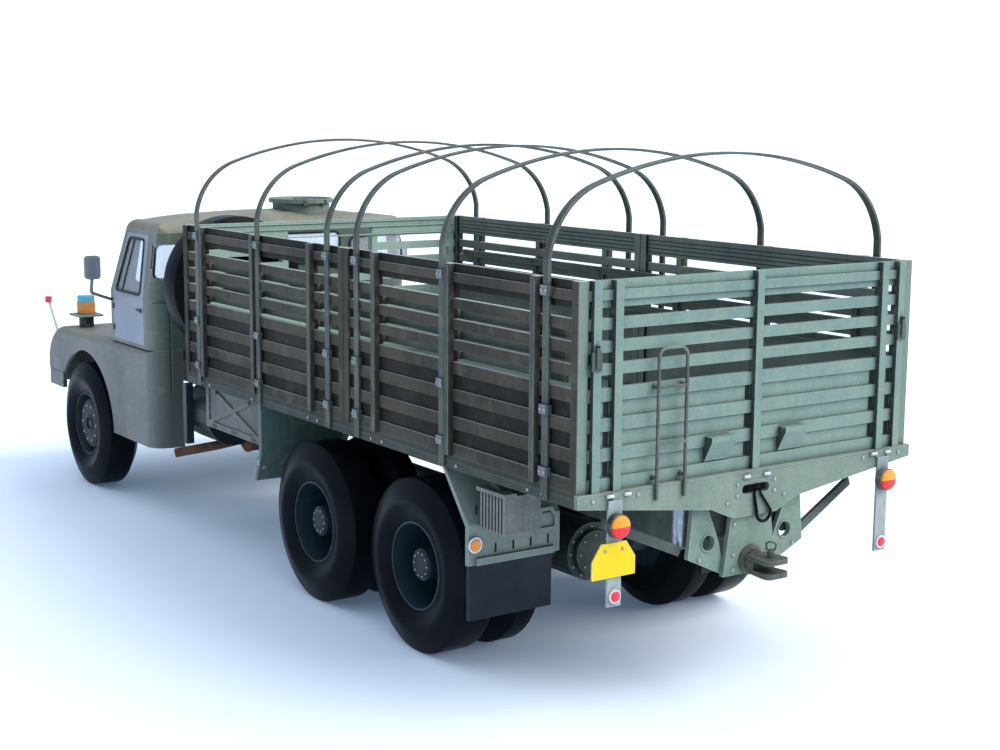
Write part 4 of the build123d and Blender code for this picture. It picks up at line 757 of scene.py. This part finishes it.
def rod(name, runs, finish, broken=0.12, smooth=None):
    """Straight bars along runs: start, end, width and height, their long edges broken by a share of the width."""
    begin("cube", size=1)
    pick(lambda edge: abs(edge.verts[0].co.z - edge.verts[1].co.z) > 0.5, "EDGE")
    bpy.ops.mesh.bevel(offset=broken, segments=2, affect="EDGES")
    moves = [between(start, end, wide / 1000, high / 1000) for start, end, wide, high in runs]
    return fit(copies(shaped(smooth=smooth), moves), name, finish)


rod("tail_braces", [(at(6.5, side * 37.5, 43.6), at(3.4, side * 18.2, 35.2), 1.1, 2.2) for side in (1, -1)],
    chassis_card, smooth=40)

# ==== Tail lamps, reflectors and the blank plate ====
# Grey card strips hang from the sill; each carries a round lamp, amber over
# red, and a small red reflector in a white ring. The plate is plain yellow.
strip_card = card("lamp_strip_card", (300, 350, 330), (170, 210, 200), (420, 450, 420), (600, 620, 600), matt=0.5,
                  shading=0.7, rubbing=0.5, cut_amount=0.6, patches=120.0, streaks=0.5)
tree = strip_card.node_tree
spot = coords(tree)
from_mid = math_of(tree, "SUBTRACT", math_of(tree, "ABSOLUTE", spot["Y"]), 0.0404)


def ring_mask(tree, spot, aside, low, radius):
    """One inside a circle round a lamp's middle, zero outside."""
    rise = math_of(tree, "SUBTRACT", spot["Z"], low)
    far = math_of(tree, "SQRT", math_of(tree, "ADD", math_of(tree, "MULTIPLY", rise, rise),
                                        math_of(tree, "MULTIPLY", aside, aside)))
    return span(tree, far, radius + 0.00008, radius - 0.00008)


shell = math_of(tree, "MULTIPLY", ring_mask(tree, spot, from_mid, 0.04533, 0.00275),
                span(tree, spot["X"], tail - 0.00178, tail - 0.00190))
tone = blend(tree, shell, (300, 350, 330), (30, 32, 30))
tone = blend(tree, ring_mask(tree, spot, from_mid, 0.03003, 0.0016), tone, (850, 830, 830))
paint(strip_card, Printed=tone)
dress(strip_card, "tail_lamps")


def lens_paint(name, low, high, level):
    """Glossy lamp print: one colour under a height, another over it."""
    finish = card(name, low, low, high, high, matt=0.22, shading=0.1, rubbing=0.0, cut_amount=0.0, dirt=0.2,
                  patches=260.0)
    tree = finish.node_tree
    tone = blend(tree, span(tree, coords(tree)["Z"], level - 0.00003, level + 0.00003), low, high)
    paint(finish, Printed=tone, Shade=tone)
    tune(finish, "Coat Weight", 0.4)
    return finish


def lens(radius, rise):
    """A lens dome that bulges to the tail by millimetres."""
    drum((-rise / 4000, 0, 0), 0, radius, rise / 2)
    crown(0, -1, (radius * 0.12, rise * 0.3), (radius * 0.3, rise * 0.15))
    return shaped(bevel=0.12, steps=3, smooth=50)


lamp_lens_paint = lens_paint("amber_over_red", (860, 8, 14), (930, 300, 6), 0.04533)
red_paint = lens_paint("reflector_red", (780, 15, 30), (780, 15, 30), 0.0)
amber_paint = lens_paint("reflector_amber", (900, 300, 30), (900, 300, 30), 0.0)
fit(copies(lens(2.42, 0.7), [at(-3.55, y, 45.33) for y in (40.4, -40.4)]), "tail_lamp_lenses",
    lamp_lens_paint)
fit(copies(lens(1.15, 0.3), [at(-2.28, y, 30.03) for y in (40.4, -40.4)]), "tail_reflectors", red_paint)

plate_card = card("plain_yellow_card", (760, 520, 1), (700, 460, 2), (800, 580, 10), (930, 900, 550), matt=0.45,
                  shading=0.4, rubbing=0.3, cut_amount=0.8, cut_width=0.0002, dirt=0.15)
dress(plate_card, "number_plate")
screws = copies(round_head(0.35, 0), [at(-2.22, y, 40.2) for y in (38.6, 43.2)])
fit(screws, "plate_screws", bolt_silver)

# ==== Mudguards, flaps and reflectors ====
# The guards are light printed card with a rolled bead, the front pair painted darker
# as shade; black flaps hang below, and each guard has an amber reflector in a white ring.
guard_card = card("guard_card", (222, 268, 232), (145, 190, 165), (260, 280, 220), (500, 540, 500), matt=0.55,
                  shading=0.7, rubbing=0.6, cut_amount=0.8, patches=80.0)
tree = guard_card.node_tree
# Painted shade: the guards ahead of the middle axle, under the bed, are printed darker
front = span(tree, coords(tree)["X"], tail + 0.118, tail + 0.122)
paint(guard_card, Printed=blend(tree, front, (222, 268, 232), (100, 158, 138)),
      Shade=blend(tree, front, (145, 190, 165), (55, 98, 86)))
dress(guard_card, "mudguards")
flap_card = card("flap_card", (2, 9, 16), (1, 5, 10), (10, 22, 30), (120, 140, 150), matt=0.55, cut_amount=0.5,
                 cut_width=0.0002, patches=90.0, streaks=0.3, dirt=0.2)
dress(flap_card, "mud_flaps")
white_card = card("white_ring_card", (780, 800, 800), (600, 620, 640), (850, 850, 850), (900, 900, 900), matt=0.5,
                  shading=0.4, rubbing=0.3, cut_amount=0.2, patches=200.0, dirt=0.3)
spots = [at(x, side * 47.0, 32.43) for x in (40.35, 147.25) for side in (1, -1)]
fit(copies(lens(1.4, 0.45), spots), "guard_reflectors", amber_paint)
fit(copies(flat_ring((0, 0, 0), 1.65, 0.26, 0.6), spots), "reflector_rings", white_card)
slot_mark = slab((-0.00006, -0.00028, -0.0011), (0.00002, 0.00028, 0.0011), 0.02)
moves = [at(41.0, side * y, 30.9) for y in (26.0, 31.0, 36.0, 41.0) for side in (1, -1)]
moves += [at(41.0, side * 46.4, 40.5) for side in (1, -1)]
fit(copies(slot_mark, moves), "guard_slots", shadow_and_gap_card)
bars("flap_clamp_bars", bearer_card, [(43.3, 43.7, 36.3, 10.3, 27.2, 28.4)])

# ==== Chock rack, tool box and tank ====
# The rack is a ribbed open box with two wheel chocks; the tool box has a
# cross-braced door with catches, the tank two bands and a filler.
rack_card = card("rack_card", (205, 210, 195), (110, 118, 108), (280, 280, 250), (480, 500, 460), matt=0.55,
                 shading=0.8, rubbing=0.6, cut_amount=0.8, patches=110.0, streaks=0.5)
dress(rack_card, "chock_rack")
begin("cube", at(35.2, 38.6, 46.0), size=1, scale=(0.0068, 0.0038, 0.0030))
pick(lambda face: face.normal.z > 0.9)
bpy.ops.transform.resize(value=(0.35, 1, 1))
bpy.ops.transform.translate(value=(0.0014, 0, 0))
fit(copies(shaped(bevel=0.25), [(0, 0, 0), (0, 0.0044, 0)]), "wheel_chocks", chassis_card)

tool_card = card("tool_box_card", (165, 163, 145), (95, 98, 88), (230, 222, 190), (400, 410, 370), matt=0.55,
                 shading=0.8, rubbing=0.7, cut_amount=0.8, patches=70.0, dirt=0.2)
dress(tool_card, "tool_box")
catches = [(x - 0.9, x + 0.9, 46.05, 0.2, 48.2, 49.6) for x in (158.0, 180.0)]
catches += [(x - 0.35, x + 0.35, 46.125, 0.225, 46.9, 49.0) for x in (158.0, 180.0)]
catches += [(x - 1.4, x + 1.4, 45.9, 0.2, 36.6, 37.5) for x in (156.0, 169.0, 182.0)]
bars("tool_box_catches", chassis_card, catches, sides=(1,))

tank_card = card("tank_card", (120, 140, 112), (70, 84, 70), (185, 190, 145), (350, 370, 310), matt=0.5, shading=0.7,
                 rubbing=0.6, cut_amount=0.6, patches=70.0, streaks=0.5)
dress(tank_card, "fuel_tank")


def tank_band(x):
    """A band round the tank, following its rounded corners."""
    begin("cube", at(x, -33, 39), size=1, scale=(0.0022, 0.0264, 0.0204))
    pick(lambda edge: abs(edge.verts[0].co.x - edge.verts[1].co.x) > 0.001, "EDGE")
    bpy.ops.mesh.bevel(offset=0.0061, segments=6, affect="EDGES")
    return shaped(bevel=0.06, smooth=30)


fit(join([tank_band(159.5), tank_band(178.5)]), "tank_bands", bearer_card)
begin("cylinder", at(169, -44.2, 48.6), (math.radians(38), 0, 0), vertices=28, radius=0.0026, depth=0.0022)
pick(lambda face: face.normal.z > 0.6 and face.normal.y < -0.4 and len(face.verts) > 8)
pull(y=-0.2, z=0.3, inset=0.5)
fit(shaped(bevel=0.1, smooth=35), "tank_filler", chassis_card)

# ==== Air tanks and exhaust ====
# Black drums hang behind the bed's front; the rusty silencer lies across
# under the frame with a clamp at each end.
drum_card = card("air_tank_card", (18, 22, 24), (10, 13, 15), (40, 45, 45), (100, 110, 110), matt=0.4, rubbing=0.5,
                 cut_amount=0.4, patches=90.0)
dress(drum_card, "air_tanks")
rust_card = card("rust_card", (150, 62, 34), (70, 32, 22), (260, 120, 60), (300, 180, 110), relief=0.0001, matt=0.75,
                 shading=0.9, rubbing=0.8, cut_amount=0.4, patches=210.0, streaks=0.1)
dress(rust_card, "exhaust")
drum(at(204, 9.6, 27.03), 1, 4.25, 1.2)
break_edges(0.15)
fit(copies(shaped(smooth=35), [(0, 0, 0), (0, 0.0148, 0)]), "exhaust_clamps", rust_card)

# ==== Cab body, doors, roof and floor ====
# Folded card in grey green, tan where the crests are weathered; the back is
# painted darker as shade, the doors are painted pale blue as a reflection of
# the sky, and the joints show as fine lines.
def cab_finish(name, side, back, **amounts):
    """Cab card, painted darker on its back as shade and tan brown on its upward crests."""
    finish = card(name, side, [value * 0.72 for value in side], (300, 262, 185), (440, 440, 380), matt=0.5, dirt=0.7,
                  **amounts)
    tree = finish.node_tree
    facing = normals(tree)
    # Painted shade: faces turned to the back take the darker colour
    back_shade = span(tree, facing["X"], -0.45, -0.85)
    crest = math_of(tree, "MULTIPLY", span(tree, facing["Z"], 0.15, 0.6), span(tree, facing["Z"], 1.0, 0.75, 0.35, 1.0))
    tone = blend(tree, back_shade, side, back)
    tone = blend(tree, math_of(tree, "MULTIPLY", crest, 0.75), tone, (235, 205, 145))
    paint(finish, Printed=tone)
    return finish


cab_card = cab_finish("cab_card", (180, 190, 166), (80, 124, 96), rubbing=0.6, cut_amount=0.6, patches=42.0,
                      streaks=0.3)
# Painted reflection: the doors' print is pale blue, standing for the sky they reflect
door_card_with_painted_sheen = cab_finish("door_card_with_painted_sheen", (300, 335, 385), (130, 150, 140), shading=0.4, rubbing=0.35, patches=40.0)
roof_card = cab_finish("roof_card", (200, 208, 165), (175, 185, 150), rubbing=0.7, cut_amount=0.6, patches=38.0,
                       streaks=0.1)
inner_card = card("cab_floor_card", (70, 75, 68), (40, 44, 40), (110, 110, 100), (250, 260, 240), matt=0.7,
                  shading=0.7, rubbing=0.5, patches=90.0)
dress(cab_card, "cab_body")
dress(roof_card, "cab_roof")
dress(door_card_with_painted_sheen, "door_left", "door_right")
dress(inner_card, "cab_floor")

# Joints of the back wall: a dark line with the pale cut edge beside it
for name, finish, middle, half in (("dark", shadow_and_gap_card, 41.675, 0.125), ("pale", clip_card, 41.25, 0.15)):
    bars(f"back_joints_{name}", finish, [(222.90, 223.06, middle, half, 40.0, 69.4)], 0.02)
bars("belt_joint", shadow_and_gap_card, [(222.90, 223.06, 0, 47.3, 69.75, 69.95)], 0.02, sides=(1,))

# Door handles with their latch plates, and the hinges
handles = [(231.6, 235.6, 47.75, 0.3, 66.2, 66.9), (231.6, 232.6, 47.55, 0.35, 65.9, 67.2, 0.1)]
hinges = [(254.7, 255.7, 47.7, 0.3, z - 0.9, z + 0.9) for z in (59.0, 66.0)]
bars("door_handles", chassis_card, handles + hinges, 0.2)

# ==== Roof hatch ====
# A round neck of rolled card stands in the roof, with a dished lid, two
# hinges and a grip.
hatch_card = card("hatch_card", (180, 225, 185), (120, 155, 130), (240, 240, 180), (420, 450, 400), matt=0.55,
                  shading=0.7, rubbing=0.6, patches=90.0)
dress(hatch_card, "roof_hatch")
grip = (234.0, 236.0, -12.1, 2.5, 100.35, 101.0, 0.3)
hinges = [(224.6, 226.6, y, 0.9, 99.0, 100.9) for y in (-15.5, -8.7)]
bars("hatch_hinges", chassis_card, hinges + [grip], 0.15, sides=(1,))

# ==== Windows ====
# Clear film behind black rubber: two windscreen panes, the doors' windows
# with their slanted bar, and three panes in the back wall.
film = bpy.data.materials.new("clear_film")
film.use_nodes = True
tree = film.node_tree
shader = tree.nodes["Principled BSDF"]
shader.inputs["Base Color"].default_value = (0.92, 0.96, 0.98, 1)
shader.inputs["Transmission Weight"].default_value = 0.8
shader.inputs["IOR"].default_value = 1.08
place = put(tree, "ShaderNodeTexCoord").outputs["Object"]
smear = put(tree, "ShaderNodeTexNoise", {"Vector": place, "Scale": 90.0, "Detail": 4.0}).outputs["Fac"]
tree.links.new(span(tree, smear, 0.35, 0.7, 0.02, 0.12), shader.inputs["Roughness"])
dress(film, "cab_glass")
rubber = card("window_rubber", (12, 13, 14), (8, 8, 9), (30, 30, 30), (50, 50, 50), matt=0.5, shading=0.4,
              cut_amount=0.3, patches=200.0, dirt=0.2)


def rubber_frame(corners, border, thick, rounding):
    """A rounded frame with four corners: low near, low far, high near, high far."""
    begin("plane", size=0.01)
    bpy.ops.mesh.select_mode(type="VERT")
    for index, corner in enumerate(corners):
        bpy.ops.mesh.select_all(action="DESELECT")
        shape = bmesh.from_edit_mesh(bpy.context.object.data)
        shape.verts.ensure_lookup_table()
        shape.verts[index].select_set(True)
        start = shape.verts[index].co.copy()
        bmesh.update_edit_mesh(bpy.context.object.data)
        bpy.ops.transform.translate(value=Vector(corner) - start)
    bpy.ops.mesh.select_all(action="SELECT")
    bpy.ops.mesh.bevel(offset=rounding / 1000, segments=5, affect="VERTICES")
    pick(lambda face: True)
    bpy.ops.mesh.inset(thickness=border / 1000, depth=0)
    bpy.ops.mesh.delete(type="FACE")
    piece = shaped()
    skin = piece.modifiers.new("skin", "SOLIDIFY")
    skin.thickness, skin.offset = thick / 1000, 0
    bpy.context.view_layer.objects.active = piece
    bpy.ops.object.modifier_apply(modifier="skin")
    return piece


frames = []
for middle, half, low, high in ((0.0, 20.3, 80.03, 90.33), (35.1, 11.1, 77.03, 88.43), (-35.1, 11.1, 77.03, 88.43)):
    near, far = middle + half + 0.2, middle - half - 0.2
    corners = []
    for z in (low - 0.2, high + 0.2):
        for y in (near, far):                      # the outer panes run round the cab's corners
            wrap = abs(y) > 45
            corners.append(at(224.9 if wrap else 222.95, math.copysign(46.5 - (z - 76.8) * 0.11, y) if wrap else y, z))
    frames.append(rubber_frame(corners, 0.7, 0.5, 2.4))
fit(join(frames), "back_rubbers", rubber)


def on_screen(y, z, lift=0.0):
    """A place on the raked windscreen."""
    return at(258.0 - (z - 70.83) * 8.9 / 21.0 + lift, y, z)


def on_door(x, side, z, lift=0.0):
    """A place on the leaning upper side of the cab."""
    return at(x, side * (47.5 - (z - 69.83) * 2.7 / 22 + lift), z)


frames = [rubber_frame([on_screen(side * y, z, 0.1) for z in (72.5, 89.9) for y in (1.3, 39.9)], 0.8, 0.5, 2.6)
          for side in (1, -1)]
fit(join(frames), "windscreen_rubbers", rubber)
door_corners = ((232.9, 71.1), (254.0, 71.1), (232.9, 89.5), (245.8, 89.5))
frames = [rubber_frame([on_door(x, side, z, 0.02) for x, z in door_corners], 0.75, 0.5, 1.8) for side in (1, -1)]
fit(join(frames), "door_rubbers", rubber)
rod("quarter_light_bars", [(on_door(248.6, side, 71.6, -0.3), on_door(241.6, side, 89.1, -0.3), 0.6, 0.5)
                           for side in (1, -1)], rubber)

# Wipers parked on the windscreen's foot: an arm and a blade each
wipers = []
for y in (30.0, -12.0):
    wipers.append((on_screen(y, 72.2, 0.9), on_screen(y - 9.0, 77.0, 0.8), 0.4, 0.5))
    wipers.append((on_screen(y - 4.0, 74.2, 0.7), on_screen(y - 16.0, 79.6, 0.7), 0.4, 0.5))
rod("wipers", wipers, rubber, broken=0.15)

# ==== Seats and dashboard ====
# Brown card seats with stitched cushions, and a dark dashboard with three dials
# without figures.
seat_card = card("seat_card", (115, 75, 48), (62, 42, 30), (180, 125, 80), (260, 200, 140), matt=0.65, shading=0.7,
                 rubbing=0.5, patches=80.0)
dress(seat_card, "seats")
dash_card = card("dashboard_card", (45, 48, 46), (25, 27, 26), (80, 80, 78), (160, 160, 150), matt=0.5, rubbing=0.5,
                 patches=110.0)
dress(dash_card, "dashboard")
bars("seat_seams", rubber, [(228.6, 236.9, y, 0.1, 62.7, 63.6) for y in (14.0, 20.0, 26.0)], 0.05)
drum(at(252.8, 20, 65.4), 0, 1.6, 0.5, 28)
crown(0, -1, (0.2, -0.15))
dial = shaped(bevel=0.05, smooth=35)
fit(copies(dial, [(0, 0.0105, 0), (0, -0.0085, 0), (0, -0.0135, 0)]), "dials", white_card)

# ==== Bonnet, fenders and bumper ====
# A tapered bonnet with a centre hinge, side louvres and spring catches, on
# fenders of folded card whose crests are weathered tan.
fender_card = cab_finish("fender_card", (165, 168, 158), (110, 120, 100), rubbing=0.6, patches=36.0, streaks=0.2)
dress(cab_card, "bonnet")
dress(fender_card, "fender_left", "fender_right", "bumper")
crest = [(260.5, 73.0), (286, 71.0), (308, 66.5), (317.6, 61.2)]
rod("bonnet_hinge", [(at(x0, 0, z0 + 0.1), at(x1, 0, z1 + 0.1), 0.5, 0.7)
                     for (x0, z0), (x1, z1) in zip(crest, crest[1:])], chassis_card, smooth=40)
louvre = slab((-0.0004, -0.0003, -0.0030), (0.0004, 0.0003, 0.0030), 0.15)
moves = [at(x, side * 24.05, 57.5) for x in range(264, 290, 3) for side in (1, -1)]
fit(copies(louvre, moves), "bonnet_louvres", shadow_and_gap_card)
catches = [(x - 0.7, x + 0.7, 24.1, 0.35, 60.6, 63.8) for x in (262.0, 292.0)]
bars("bonnet_catches", chassis_card, catches, 0.15)
bars("radiator_core", shadow_and_gap_card, [(315.6, 316.0, 0, 12.6, 46.8, 58.0)], 0.05, sides=(1,))
edges = [(318.0, 318.5, 0, 12.6, z, z + 0.8) for z in (46.2, 58.0)]
bars("grille_frame", cab_card, edges, 0.15, sides=(1,))
hooks = []
for side in (1, -1):
    hooks.append(slab(at(320.4, side * 24 - 0.9, 36.4), at(324.9, side * 24 + 0.9, 37.2), 0.2))
    hooks.append(slab(at(323.6, side * 24 - 0.9, 37.0), at(324.9, side * 24 + 0.9, 39.2), 0.2))
    hooks.append(slab(at(306.9, side * 46.6 - 0.2, 32.0), at(308.5, side * 46.6 + 0.6, 33.0), 0.1))
fit(join(hooks), "front_tow_hooks", jaw_card)

# Filler neck with a red cap, in the corner behind the left fender
for name, z, radius, depth, step, broken, finish in (("filler_neck", 57.5, 1.5, 6.5, (0.2, 0.3), 0.08, chassis_card),
                                                     ("filler_cap", 62.0, 1.9, 2.6, (0.35, 0.2), 0.15, red_paint)):
    drum(at(262.5, 41.5, z), 2, radius, depth, 24)
    crown(2, 1, step)
    fit(shaped(bevel=broken, smooth=35), name, finish)

# ==== Front lamps ====
# Headlamps with a silvered bowl and a clear lens in the nose of each fender;
# on top, a round amber indicator with a blue cap on a small plate.
lamp_shell = card("lamp_shell_card", (165, 175, 155), (100, 110, 100), (240, 240, 200), (400, 400, 360), matt=0.5,
                  shading=0.5, rubbing=0.5, cut_amount=0.5, patches=120.0)
tree = lamp_shell.node_tree
spot = coords(tree)
tone = blend(tree, span(tree, spot["Z"], 0.05812, 0.05820), (20, 24, 26), (620, 240, 45))
tone = blend(tree, span(tree, spot["Z"], 0.06225, 0.06233), tone, (75, 400, 580))
tone = blend(tree, span(tree, spot["X"], tail + 0.312, tail + 0.313), tone, (165, 175, 155))
paint(lamp_shell, Printed=tone, Shade=tone)
dress(lamp_shell, "front_lamps")
bars("indicator_plates", hatch_card, [(296.2, 305.8, 40, 4.6, 57.2, 58.0)], 0.2)
silver = card("silvered_card", (620, 650, 680), (400, 430, 460), (800, 800, 800), (800, 800, 800), matt=0.12,
              shading=0.3, rubbing=0.2, cut_amount=0.2, patches=120.0, dirt=0.2)
tune(silver, "Metallic", 0.8)
pair = [(0, 0, 0), (0, -0.073, 0)]
drum(at(322.45, 36.5, 41.43), 0, 3.7, 0.1, 40)
crown(0, 1, (0.5, -0.05), (2.0, 0.3))
fit(copies(shaped(smooth=40), pair), "headlamp_bowls", silver)
fit(copies(flat_ring(at(323.2, 36.5, 41.43), 4.1, 0.35, 0.8, 40), pair), "headlamp_rims", silver)
begin("uv_sphere", at(322.7, 36.5, 41.43), (0, math.pi / 2, 0), (1, 1, 0.2), segments=32, ring_count=14, radius=0.0037)
pick(lambda face: face.calc_center_median().x < tail + 0.32268)
bpy.ops.mesh.delete(type="FACE")
bpy.ops.mesh.select_all(action="SELECT")
pull(x=0.12)
bpy.ops.mesh.select_all(action="SELECT")
bpy.ops.mesh.normals_make_consistent(inside=False)
fit(copies(shaped(smooth=180), pair), "headlamp_lenses", film)

# ==== Mirrors and marker rods ====
# Bent wires carry the mirrors, whose glass looks back; thin rods with red
# balls mark the fenders' corners.
wire_card = card("mirror_wire_paint", (150, 165, 160), (85, 95, 95), (220, 230, 220), (340, 350, 340), matt=0.4,
                 shading=0.5, rubbing=0.5, patches=160.0)
dress(wire_card, "mirrors")
mirror_glass = card("mirror_glass", (340, 400, 500), (120, 150, 200), (550, 600, 700), (600, 600, 600),
                    relief=0.000002, matt=0.18, shading=0.5, rubbing=0.1, cut_amount=0.0, patches=70.0, dirt=0.1)
tune(mirror_glass, "Metallic", 0.55)
panes = [rubber_frame([at(245.15, side * 58 + y, z) for z in (76.3, 83.35) for y in (2.3, -2.3)], 0.35, 0.25, 1.1)
         for side in (1, -1)]
fit(join(panes), "mirror_rims", wire_card)
bars("mirror_panes", mirror_glass, [(245.12, 245.25, 58, 2.05, 76.6, 83.1)], 0.06)
rod_paint = card("marker_rod_paint", (420, 500, 540), (300, 360, 400), (500, 550, 580), (550, 580, 600), matt=0.4,
                 shading=0.4, rubbing=0.3, cut_amount=0.3, patches=160.0)
tree = rod_paint.node_tree
tone = blend(tree, span(tree, coords(tree)["Z"], 0.06035, 0.06045), (420, 500, 540), (720, 45, 55))
paint(rod_paint, Printed=tone, Shade=tone)
dress(rod_paint, "marker_rods")

# ==== Spare wheel's nut ====
# The spare stands on a card carrier behind the cab, held by one nut on the
# carrier's stud.
drum(at(201.6, 27, 76.23), 0, 1.6, 1.6, 6)
crown(0, -1, (0.5, 0.8))
fit(shaped(bevel=0.12, smooth=35), "spare_nut", bolt_silver)
